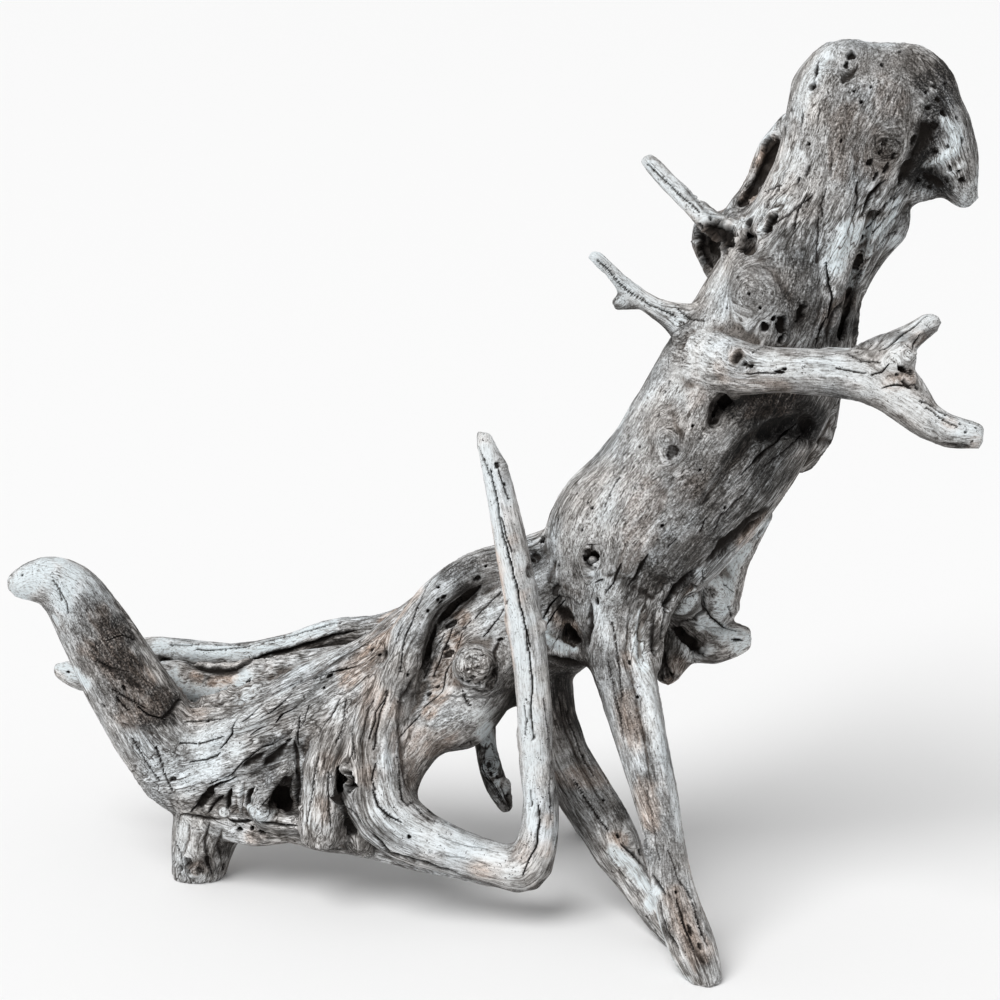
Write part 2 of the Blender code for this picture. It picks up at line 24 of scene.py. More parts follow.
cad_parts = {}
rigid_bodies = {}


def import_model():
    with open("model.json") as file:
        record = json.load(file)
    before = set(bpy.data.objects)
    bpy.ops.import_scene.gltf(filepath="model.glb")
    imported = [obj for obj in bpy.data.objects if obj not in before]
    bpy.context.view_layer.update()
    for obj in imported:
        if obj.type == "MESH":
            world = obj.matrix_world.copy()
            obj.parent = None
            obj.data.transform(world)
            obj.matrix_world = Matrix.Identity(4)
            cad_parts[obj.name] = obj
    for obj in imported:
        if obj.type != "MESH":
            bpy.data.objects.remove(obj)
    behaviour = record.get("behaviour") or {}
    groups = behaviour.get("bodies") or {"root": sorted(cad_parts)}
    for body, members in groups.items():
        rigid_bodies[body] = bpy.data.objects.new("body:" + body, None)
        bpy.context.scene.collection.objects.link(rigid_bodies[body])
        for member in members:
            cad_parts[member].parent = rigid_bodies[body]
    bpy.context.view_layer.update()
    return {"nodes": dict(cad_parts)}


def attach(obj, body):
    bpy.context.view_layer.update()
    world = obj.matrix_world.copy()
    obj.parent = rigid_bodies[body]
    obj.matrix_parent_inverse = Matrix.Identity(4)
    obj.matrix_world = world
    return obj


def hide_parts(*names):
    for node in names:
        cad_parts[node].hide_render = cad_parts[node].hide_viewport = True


LOG = logging.getLogger("driftwood")
MM = 0.001
FAR = 1e3

Colour = tuple[float, float, float]


class Layer(Enum):
    """Which of the two layers of grain a limb's lines belong to. Limbs that touch lie in different ones."""

    STEM = 0
    BRANCH = 1


class Tone(Enum):
    """What a stain does to the wood. The hollow tone is painted shade; the tone that chars also paints broad
    patches of shade.
    """

    BLEACH = 0
    WARM = 1
    CHAR = 2
    HOLLOW = 3
    PLAIN = 4

    def patches(self, *rows: tuple[float, ...]) -> tuple[Stain, ...]:
        """Makes stains of this tone. A row is its strength, then each place with its radius."""
        return Stain.rows(*((self, *row) for row in rows))


class Seed(Enum):
    """The seed of each random field that the wood's forms read."""

    WARP = 5
    RIDGE = 11
    FURROW = 12
    STRAND = 13
    WEAR = 14
    PIT = 15
    SWELL = 16
    HOLE = 21
    KNOT = 22
    CRACK = 23
    STAIN = 24
    STREAK = 25
    SWAY = 31


def smoothstep(low: float, high: float, value: np.ndarray) -> np.ndarray:
    """Rises smoothly from 0 at low to 1 at high."""
    share = np.clip((value - low) / (high - low), 0, 1)
    return share * share * (3 - 2 * share)


def unit(vectors: np.ndarray) -> np.ndarray:
    """The same directions, one long."""
    return vectors / np.maximum(np.linalg.norm(vectors, axis=-1, keepdims=True), 1e-12)


def triangles(mesh: bpy.types.Mesh) -> tuple[np.ndarray, np.ndarray]:
    """Reads a mesh.

    Args:
        mesh: The mesh.

    Returns:
        Its points, and the corners of its triangles.
    """
    mesh.calc_loop_triangles()
    points = np.empty((len(mesh.vertices), 3), np.float32)
    mesh.vertices.foreach_get("co", points.ravel())
    corners = np.empty((len(mesh.loop_triangles), 3), np.int32)
    mesh.loop_triangles.foreach_get("vertices", corners.ravel())
    return points, corners


@dataclass(frozen=True)
class Eye:
    """The photograph's eye, and the board that it looks at."""

    centre: tuple[float, float, float] = (20.5 * MM, 76 * MM, 394.6 * MM)
    distance: float = 2200 * MM
    pitch: float = math.radians(15)
    side: float = 1000
    sensor: float = 36

    def axes(self) -> np.ndarray:
        """The board's directions across, up and forward, as rows."""
        sine, cosine = math.sin(self.pitch), math.cos(self.pitch)
        return np.array([(1, 0, 0), (0, sine, cosine), (0, -cosine, sine)])

    def place(self, across: float, down: float, forward: float) -> np.ndarray:
        """Finds a station's point.

        Args:
            across: Millimetres from the board's left edge, as seen.
            down: Millimetres from its top edge, as seen.
            forward: Millimetres in front of the board.

        Returns:
            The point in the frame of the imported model, in metres.
        """
        scale = 1 - forward * MM / self.distance
        half = self.side / 2
        shift = np.array([(across - half) * scale, (half - down) * scale, forward]) * MM
        return np.array(self.centre) + shift @ self.axes()

    def position(self) -> np.ndarray:
        """Where the eye is."""
        return np.array(self.centre) + self.axes()[2] * self.distance

    def camera(self) -> None:
        """Puts the camera at the eye."""
        data = bpy.data.cameras.new("eye")
        data.sensor_width = self.sensor
        data.lens = self.sensor * self.distance / (self.side * MM)
        camera = bpy.data.objects.new("eye", data)
        turned = Matrix([Vector(axis) for axis in self.axes()]).transposed().to_4x4()
        camera.matrix_world = Matrix.Translation(Vector(self.position())) @ turned
        bpy.context.scene.collection.objects.link(camera)
        bpy.context.scene.camera = camera


class Noise:
    """Smooth random values in space, the same on each run."""

    def __init__(self, seed: Seed) -> None:
        """Draws the lattice's slopes.

        Args:
            seed: Which of the possible fields this is.
        """
        draw = np.random.default_rng(seed.value)
        order = draw.permutation(256)
        self.order = np.concatenate([order, order]).astype(np.int32)
        self.slopes = unit(draw.normal(size=(256, 3))).astype(np.float32)

    def at(self, points: np.ndarray) -> np.ndarray:
        """Reads the noise.

        Args:
            points: Where, measured in waves.

        Returns:
            Values from about -1 to 1.
        """
        cell = np.floor(points).astype(np.int32)
        part = (points - cell).astype(np.float32)
        cell &= 255
        fade = part**3 * (part * (part * 6 - 15) + 10)
        total = np.zeros(len(points), np.float32)
        for corner in itertools.product((0, 1), repeat=3):
            index = self.order[cell[:, 0] + corner[0]] + cell[:, 1] + corner[1]
            index = self.order[self.order[index] + cell[:, 2] + corner[2]]
            weight = np.ones(len(points), np.float32)
            slope = np.zeros(len(points), np.float32)
            for axis, step in enumerate(corner):
                weight *= fade[:, axis] if step else 1 - fade[:, axis]
                slope += self.slopes[index, axis] * (part[:, axis] - step)
            total += weight * slope
        return total * 1.7

    def rough(self, points: np.ndarray) -> np.ndarray:
        """Reads the noise with waves half as long and half as high on top of it."""
        return self.at(points) + self.at(points * 2 + 17.3) / 2


@dataclass(frozen=True)
class Lie:
    """How points lie to a limb: how near in radii, their place in it, and its heading and radius there."""

    near: np.ndarray
    place: np.ndarray
    heading: np.ndarray
    radius: np.ndarray


class Planned:
    """What is planned in rows of numbers: its sizes, and then for most the places that it runs through."""

    def __init_subclass__(cls, sizes: int = 0, each: int = 0) -> None:
        """Keeps how many sizes a row has, and how many numbers for each place."""
        cls.sizes, cls.each = sizes, each

    @classmethod
    def rows(cls, *rows: tuple[object, ...]) -> tuple[Planned, ...]:
        """Makes one of each row.

        Args:
            rows: Its sizes, then as many numbers for each place.

        Returns:
            What the rows plan, in their order.
        """
        if not cls.each:
            return tuple(cls(*row) for row in rows)
        parts = [[row[cls.sizes + number :: cls.each] for number in range(cls.each)] for row in rows]
        return tuple(cls(*row[: cls.sizes], tuple(zip(*part))) for row, part in zip(rows, parts))


@dataclass(frozen=True)
class Hole(Planned):
    """An insect's bore or a rotted hollow, its sizes in millimetres."""

    across: float
    down: float
    radius: float
    depth: float = 5
    stretch: float = 1
    # dark: how strong the painted shade inside the hole is.
    dark: float = 1
    peg: float = 0


@dataclass(frozen=True)
class Knot(Planned):
    """The stump of an old shoot: it stands proud, and the grain runs round it."""

    across: float
    down: float
    radius: float
    rise: float
    dip: float = 0
    rings: float = 0.35
    stretch: float = 1


@dataclass(frozen=True)
class Crack(Planned, sizes=2, each=2):
    """A drying crack, through places on the board."""

    width: float
    depth: float
    path: tuple[tuple[float, float], ...] = ()


@dataclass(frozen=True)
class Fold(Planned, sizes=3, each=2):
    """A broad furrow or, where its depth is below 0, a raised strand, through places on the board."""

    width: float
    depth: float
    # dark: how strong the painted shade in the furrow is.
    dark: float
    path: tuple[tuple[float, float], ...] = ()


@dataclass(frozen=True)
class Fill(Planned, sizes=1, each=2):
    """A furrow of the solids that is drawn level, through places on the board."""

    width: float
    path: tuple[tuple[float, float], ...]


@dataclass(frozen=True)
class Stain(Planned, sizes=2, each=3):
    """A patch of colour: its places on the board and the radius of each."""

    tone: Tone
    strength: float
    places: tuple[tuple[float, float, float], ...] = ()


@dataclass(frozen=True)
class Grain(Planned, sizes=2, each=4):
    """The line that a limb's grain follows: stations of (across, down, forward, radius) on the board."""

    layer: Layer
    stretch: float
    stations: tuple[tuple[float, float, float, float], ...]
    reach: float = 3.2
    spacing: float = 12 * MM

    def line(self, eye: Eye) -> tuple[np.ndarray, np.ndarray]:
        """A smooth line through the stations.

        Args:
            eye: The board that the stations are on.

        Returns:
            The line's points, and the limb's radius at each, in metres.
        """
        rows = np.array([self.stations[0], *self.stations, self.stations[-1]], float)
        fine = []
        for before, start, end, after in zip(rows, rows[1:], rows[2:], rows[3:]):
            length = np.linalg.norm(eye.place(*end[:3]) - eye.place(*start[:3]))
            steps = max(1, round(length / self.spacing))
            bow = 2 * before - 5 * start + 4 * end - after
            turn = 3 * start - before - 3 * end + after
            for share in np.arange(steps) / steps:
                fine.append(0.5 * (2 * start + (end - before) * share + bow * share**2 + turn * share**3))
        fine.append(rows[-1])
        points = np.array([eye.place(*row[:3]) for row in fine])
        return points, np.array([row[3] for row in fine]) * MM

    def follow(self, eye: Eye, points: np.ndarray) -> Lie:
        """Measures how points lie to the limb.

        Args:
            eye: The board that the stations are on.
            points: Places on the wood.

        Returns:
            How each point lies; one out of the limb's reach is far from it.
        """
        line, radii = self.line(eye)
        ahead = unit(np.gradient(line, axis=0))
        side = unit(np.cross(ahead, eye.axes()[2]))
        deep = np.cross(side, ahead)
        steps = np.diff(line, axis=0)
        lengths = np.linalg.norm(steps, axis=1)
        starts = np.concatenate([[0], np.cumsum(lengths)])
        count = len(points)
        lie = Lie(np.full(count, FAR), np.zeros((count, 3)), np.zeros((count, 3)), np.ones(count))
        room = self.reach * radii.max()
        chosen = np.flatnonzero(((points > line.min(0) - room) & (points < line.max(0) + room)).all(1))
        local = points[chosen]
        nearest, segment, share = np.full(len(local), FAR), np.zeros(len(local), int), np.zeros(len(local))
        for index, (start, step, length) in enumerate(zip(line, steps, lengths)):
            raw = (local - start) @ step / length**2
            held = np.clip(raw, 0, 1)
            gap = np.linalg.norm(local - start - held[:, None] * step, axis=1)
            closer = gap < nearest
            nearest[closer] = gap[closer]
            segment[closer] = index
            share[closer] = (raw if index in (0, len(steps) - 1) else held)[closer]
        inside = np.clip(share, 0, 1)[:, None]
        side, deep, ahead = (
            unit(rows[segment] * (1 - inside) + rows[segment + 1] * inside) for rows in (side, deep, ahead)
        )
        radius = radii[segment] * (1 - inside[:, 0]) + radii[segment + 1] * inside[:, 0]
        offset = local - line[segment] - share[:, None] * steps[segment]
        scale = (np.median(radii) / radius) ** 0.6
        lie.near[chosen] = nearest / radius
        lie.place[chosen, 0] = (offset * side).sum(1) * scale
        lie.place[chosen, 1] = (offset * deep).sum(1) * scale
        lie.place[chosen, 2] = (starts[segment] + share * lengths[segment]) / self.stretch
        lie.heading[chosen] = ahead
        lie.radius[chosen] = radius
        return lie


@dataclass
class Skin:
    """The wood's surface: points, faces' corners and solids, and how far the sky is hidden from each point,
    for painted shade.
    """

    points: np.ndarray
    faces: np.ndarray
    owner: np.ndarray
    sky_shade: np.ndarray
    cell: float = 24 * MM
    low: np.ndarray = field(init=False)
    cells: np.ndarray = field(init=False)
    order: np.ndarray = field(init=False)
    keys: np.ndarray = field(init=False)

    def sort(self) -> None:
        """Sorts the points into cells, so that those near a place are found quickly."""
        self.low = self.points.min(0)
        place = ((self.points - self.low) / self.cell).astype(int)
        self.cells = place.max(0) + 1
        keys = (place[:, 0] * self.cells[1] + place[:, 1]) * self.cells[2] + place[:, 2]
        self.order = np.argsort(keys, kind="stable")
        self.keys = keys[self.order]

    def within(self, low: np.ndarray, high: np.ndarray) -> np.ndarray:
        """Finds the points in a box, as they were sorted last.

        Args:
            low: The box's lowest corner.
            high: Its highest corner.

        Returns:
            The points' indices.
        """
        first = np.maximum(((low - self.low) / self.cell).astype(int), 0)
        last = np.minimum(((high - self.low) / self.cell).astype(int), self.cells - 1)
        found = [np.zeros(0, int)]
        for i, j in itertools.product(range(first[0], last[0] + 1), range(first[1], last[1] + 1)):
            row = (i * self.cells[1] + j) * self.cells[2]
            start, end = np.searchsorted(self.keys, (row + first[2], row + last[2] + 1))
            found.append(self.order[start:end])
        near = np.concatenate(found)
        return near[((self.points[near] > low) & (self.points[near] < high)).all(1)]

    def flat_normals(self) -> np.ndarray:
        """Each face's direction, as long as twice its area."""
        corners = self.points[self.faces]
        return np.cross(corners[:, 1] - corners[:, 0], corners[:, 2] - corners[:, 0])

    def normals(self) -> np.ndarray:
        """The outward direction at each point."""
        corners, flat = self.faces.ravel(), np.repeat(self.flat_normals(), 3, axis=0)
        return unit(np.stack([np.bincount(corners, axis, len(self.points)) for axis in flat.T], 1))

    def edges(self) -> np.ndarray:
        """Finds the edges.

        Returns:
            The pairs of points that share one, each pair and their list in order.
        """
        pairs = np.concatenate([self.faces[:, [0, 1]], self.faces[:, [1, 2]], self.faces[:, [2, 0]]])
        pairs.sort(axis=1)
        keys = np.unique(pairs[:, 0].astype(np.int64) * len(self.points) + pairs[:, 1])
        return np.stack([keys // len(self.points), keys % len(self.points)], 1)

    def spread(self, values: np.ndarray, edges: np.ndarray, rounds: int, share: float = 0.5) -> np.ndarray:
        """Evens values out over the skin.

        Args:
            values: One row for each point.
            edges: The skin's edges.
            rounds: How often each point moves towards its neighbours.
            share: How far it moves each time.

        Returns:
            The evened values.
        """
        count = len(self.points)
        links = np.bincount(edges.ravel(), minlength=count)
        rows = values.reshape(count, -1).astype(float)
        for _, column in itertools.product(range(rounds), rows.T):
            near = np.bincount(edges[:, 0], column[edges[:, 1]], count)
            near += np.bincount(edges[:, 1], column[edges[:, 0]], count)
            column += share * (near / links - column)
        return rows.reshape(values.shape)

    def refine(self, chosen: np.ndarray) -> None:
        """Halves every edge whose two ends are chosen, so that small forms have points enough.

        Args:
            chosen: Which points are.
        """
        edges, count = self.edges(), len(self.points)
        split = chosen[edges].all(1)
        keys = edges[:, 0] * count + edges[:, 1]
        middle = np.full(len(edges), -1)
        middle[split] = count + np.arange(split.sum())
        a, b, c = self.faces.T
        mids = []
        for start, end in ((a, b), (b, c), (c, a)):
            low, high = np.minimum(start, end).astype(np.int64), np.maximum(start, end)
            mids.append(middle[np.searchsorted(keys, low * count + high)])
        corners, mids = np.stack([a, b, c], 1), np.stack(mids, 1)
        marked = (mids >= 0).sum(1)
        faces, owners = [corners[marked == 0]], [self.owner[marked == 0]]
        for number in (1, 2, 3):
            rows = np.flatnonzero(marked == number)
            if not len(rows):
                continue
            whole = mids[rows] >= 0
            turn = (np.argmin(whole, 1) + 1) % 3 if number == 2 else np.argmax(whole, 1)
            order = (turn[:, None] + np.arange(3)) % 3
            a, b, c = np.take_along_axis(corners[rows], order, 1).T
            d, e, f = np.take_along_axis(mids[rows], order, 1).T
            made = {
                1: ((a, d, c), (d, b, c)),
                2: ((d, b, e), (a, d, e), (a, e, c)),
                3: ((a, d, f), (d, b, e), (f, e, c), (d, e, f)),
            }[number]
            faces += [np.stack(face, 1) for face in made]
            owners += [self.owner[rows]] * len(made)
        self.points = np.concatenate([self.points, self.points[edges[split]].mean(1)])
        self.sky_shade = np.concatenate([self.sky_shade, self.sky_shade[edges[split]].mean(1)])
        self.faces, self.owner = np.concatenate(faces), np.concatenate(owners)
        self.sort()


@dataclass(frozen=True)
class Spot:
    """Where a mark meets the wood: its point, the outward direction there, and the grain's direction."""

    point: np.ndarray
    outward: np.ndarray
    heading: np.ndarray

    def measure(self, skin: Skin, stretch: float, reach: float) -> tuple[np.ndarray, np.ndarray]:
        """Measures how far the skin's points are from the spot.

        Args:
            skin: The skin.
            stretch: How much longer the mark is along the grain than across it.
            reach: How far to look, in metres.

        Returns:
            The points that lie within reach, and their distances across the grain's own scale.
        """
        room = reach * max(stretch, 1)
        near = skin.within(self.point - room, self.point + room)
        offset = skin.points[near] - self.point
        along = offset @ self.heading
        rest = offset - along[:, None] * self.heading
        return near, np.sqrt((along / stretch) ** 2 + (rest**2).sum(1))


@dataclass
class Relief:
    """What is worked into the skin, for each point: its rise and dent, its gap (painted shade in holes,
    cracks and creases), its rings and its tones.
    """

    push: np.ndarray
    dent: np.ndarray
    gap: np.ndarray
    ring: np.ndarray
    tone: np.ndarray


@dataclass(frozen=True)
class Weather:
    """Marks and stains that no view plans: they follow the grain wherever the eye doesn't reach."""

    seed: int = 41
    cracks: int = 80
    bores: int = 90
    knots: int = 12
    furrows: int = 46
    streaks: int = 130
    step: float = 4 * MM
    facing: float = 0.12
    clear: float = 12 * MM
    tones: tuple[tuple[Tone, float], ...] = (
        (Tone.BLEACH, 0.85), (Tone.WARM, 1), (Tone.BLEACH, 0.6), (Tone.CHAR, 0.6), (Tone.PLAIN, 1),
    )


@dataclass(frozen=True, eq=False)
class Ink:
    """A number, place or colour that a material works out: each step from it is drawn as a node."""

    tree: bpy.types.NodeTree
    socket: bpy.types.NodeSocket | None = None

    def node(self, kind: str, *values: object, out: int = 0, **settings: object) -> Ink:
        """Draws a node.

        Args:
            kind: Its kind.
            values: What its first inputs take: ink, something set, or None to be left.
            out: Which of its outputs counts.
            settings: Its other settings.

        Returns:
            What comes out of it.
        """
        made = self.tree.nodes.new(f"ShaderNode{kind}")
        for name, value in settings.items():
            setattr(made, name, value)
        for socket, value in zip(made.inputs, values):
            if isinstance(value, Ink):
                self.tree.links.new(value.socket, socket)
            elif value is not None:
                socket.default_value = value
        return Ink(self.tree, made.outputs[out])

    def __add__(self, other: object) -> Ink:
        """The sum."""
        return self.node("Math", self, other, operation="ADD")

    def __mul__(self, other: object) -> Ink:
        """The product."""
        return self.node("Math", self, other, operation="MULTIPLY")

    def off(self, middle: float) -> Ink:
        """How far this is from a middle value."""
        return self.node("Math", self + -middle, operation="ABSOLUTE")

    def held(self, name: str) -> Ink:
        """A value that the skin's points hold."""
        return self.node("Attribute", attribute_name=name, out=2)

    def parts(self, name: str) -> list[Ink]:
        """The three parts of a value that the skin's points hold."""
        split = self.node("SeparateXYZ", self.node("Attribute", attribute_name=name, out=1))
        return [Ink(self.tree, socket) for socket in split.socket.node.outputs]

    def noise(self, size: float, detail: float, brief: float = 1) -> Ink:
        """Noise around a half at this place, its waves of a size and so much briefer along the grain."""
        place = self if brief == 1 else self.node("VectorMath", self, (1, 1, brief), operation="MULTIPLY")
        return self.node("TexNoise", place, None, 1 / size, detail, 0.6)

    def ramp(self, low: float, high: float, start: float = 0, end: float = 1) -> Ink:
        """Takes low to start and high to end, and holds there."""
        return self.node("MapRange", self, low, high, start, end)

    def mix(self, one: object, two: object) -> Ink:
        """One value where this is 0, the other where it is 1."""
        return self.node("Mix", self, None, one, two)

    def blend(self, share: Ink, other: Colour, kind: str = "MULTIPLY") -> Ink:
        """This colour, and as the share rises its product with the other or, for MIX, the other."""
        values = (share, *[None] * 5, self, (*other, 1))
        return self.node("Mix", *values, out=2, data_type="RGBA", blend_type=kind)

    def colours(self, stops: tuple[tuple[float, Colour], ...]) -> Ink:
        """Colours this level.

        Args:
            stops: The levels and their colours.

        Returns:
            The colour.
        """
        made = self.node("ValToRGB", self)
        elements = made.socket.node.color_ramp.elements
        while len(elements) < len(stops):
            elements.new(0.5)
        for element, (level, colour) in zip(elements, stops):
            element.position = level
            element.color = (*colour, 1)
        return made


@dataclass(frozen=True)
class WoodFinish:
    """Bare weathered wood, silvered by sun and salt water."""

    silver: Colour = (0.90, 0.92, 0.93)
    light: Colour = (0.62, 0.63, 0.63)
    middle: Colour = (0.30, 0.298, 0.292)
    deep: Colour = (0.105, 0.099, 0.092)
    dark: Colour = (0.022, 0.020, 0.018)
    bleach: Colour = (0.69, 0.765, 0.795)
    warm: Colour = (1.05, 0.82, 0.68)
    cool: Colour = (0.94, 0.99, 1.04)
    # Charring, and broad patches of painted shade.
    char_and_shade: Colour = (0.07, 0.07, 0.075)
    shade: Colour = (0.30, 0.265, 0.24)
    # Painted shade in holes, cracks, creases and hollows.
    hollow: Colour = (0.010, 0.007, 0.005)
    roughness: float = 0.85
    gloss: float = 0.3
    dash: float = 1.3
    line: float = 1.6
    brief: float = 2.4
    strand: float = 4.2
    band: float = 22
    speckle: float = 1.9 * MM
    patch: float = 13 * MM
    blotch: float = 44 * MM
    hue: float = 75 * MM
    relief: float = 1 * MM
    calm: float = 0
    lift: float = -0.03

    def material(self, name: str) -> bpy.types.Material:
        """Makes the wood's material.

        Args:
            name: The material's name.

        Returns:
            A material that draws grain, speckle, cracks, stains and painted shade from the skin's own
            values.
        """
        made = bpy.data.materials.new(name)
        made.use_nodes = True
        pen = Ink(made.node_tree)
        titles = ("grain_stem", "grain_branch")
        layers = [pen.node("Attribute", attribute_name=title, out=1) for title in titles]
        # Two held values are painted shade: in hollows and clefts, and where the sky is hidden.
        share, hollow, sky_shade, plain = map(pen.held, ("grain_share", "hollow", "sky_shade", "plain"))
        bleach, warm, char_and_shade = pen.parts("tone")
        # Painted shade in recesses and in holes, cracks and creases, and the knots' rings.
        recess_shade, gap, ring = pen.parts("wear")
        place, calm = pen.node("TexCoord", out=3), self.calm

        def grained(*waves: float) -> Ink:
            """Noise drawn out along both layers of grain."""
            return share.mix(*(layer.noise(*waves) for layer in layers))

        # Streaks along the grain, dashes, splits and pits
        dash, strand, band = grained(self.dash, 1), grained(self.strand, 3), grained(self.band, 2)
        fine = plain.mix(grained(self.line, 2), grained(self.line, 2, self.brief))
        speckle, patch = place.noise(self.speckle, 2), place.noise(self.patch, 2)
        blotch, hue = place.noise(self.blotch, 3), place.noise(self.hue, 2)
        long = plain * -0.75 + 1
        lines, splits = strand.off(0.47).ramp(0, 0.035), band.off(0.5).ramp(0, 0.012)
        pits = speckle.ramp(0.60, 0.68) * patch.ramp(0.46, 0.56)
        dashes = dash.ramp(0.58, 0.66) * patch.ramp(0.60, 0.42, 0.25, 1)
        dashes *= bleach * -0.6 + (1 - 0.5 * calm)

        # How light the wood is
        level = fine.ramp(0.30, 0.70) * (plain * -0.07 + 0.38) + plain * 0.02
        level += strand.ramp(0.3, 0.7) * (0.30 - 0.14 * calm) + band.ramp(0.3, 0.7) * long * 0.16
        level += speckle.ramp(0.3, 0.7) * (plain * 0.16 + 0.12) + (patch + -0.5) * 0.18
        level += (blotch + -0.5) * 0.55 + (0.07 + self.lift + 0.07 * calm) + bleach * 0.30
        # Painted shade where the sky is hidden, charring and broad patches of painted shade darken the
        # level.
        level += ring * -0.35 + sky_shade * bleach.ramp(0, 1, 1, 0.3) * -0.22 + char_and_shade * -0.20
        level *= long.mix(1, lines.ramp(0, 1, 0.5 + 0.35 * calm, 1))
        level *= long.mix(1, splits.ramp(0, 1, 0.25 + 0.5 * calm, 1))
        level *= pits.ramp(0, 1, 1, 0.25) * dashes.ramp(0, 1, 1, 0.40)

        # Its colour
        shades = (self.dark, self.deep, self.middle, self.light, self.silver)
        wood = level.colours(tuple(zip((0.05, 0.22, 0.42, 0.61, 0.84), shades)))
        wood = wood.blend(hue.ramp(0.35, 0.65, 0.6, 0), self.cool)
        wood = wood.blend(hue.ramp(0.35, 0.65, 0, 0.22), self.warm)
        wood = wood.blend(warm * strand.ramp(0.35, 0.65, 1, 0.35), self.warm)
        wood = wood.blend(bleach * level.ramp(0.30, 0.80, 0, 0.85), self.bleach, "MIX")
        wood = wood.blend(fine.ramp(0.36, 0.50, 1, 0) * (bleach * 0.42 + 0.14), self.shade)
        # Charring, and broad patches of painted shade.
        wood = wood.blend(char_and_shade * speckle.ramp(0.46, 0.64, 1, 0.25) * (bleach * -0.8 + 1), self.char_and_shade)
        # Painted shade in recesses.
        wood = wood.blend(recess_shade, self.shade)
        # Painted shade where the sky is hidden.
        wood = wood.blend(sky_shade.ramp(0.25, 1, 0, 0.9) * (bleach * -0.7 + 1), self.shade)
        # Painted shade in hollows and clefts, and in holes, cracks and creases.
        wood = wood.blend(hollow * 0.9, self.hollow, "MIX").blend(gap, self.hollow, "MIX")

        # Its fine relief
        height = strand * 0.9 + fine * 0.5 + band * 1.2 + lines * long * 0.25 + splits * long * 0.6
        height += pits * -0.7 + dashes * -0.5 + speckle * 0.45
        bump = pen.node("Bump", 1, self.relief, None, height)
        shader = made.node_tree.nodes["Principled BSDF"]
        made.node_tree.links.new(wood.socket, shader.inputs["Base Color"])
        made.node_tree.links.new(bump.socket, shader.inputs["Normal"])
        shader.inputs["Roughness"].default_value = self.roughness
        shader.inputs["Specular IOR Level"].default_value = self.gloss
        return made


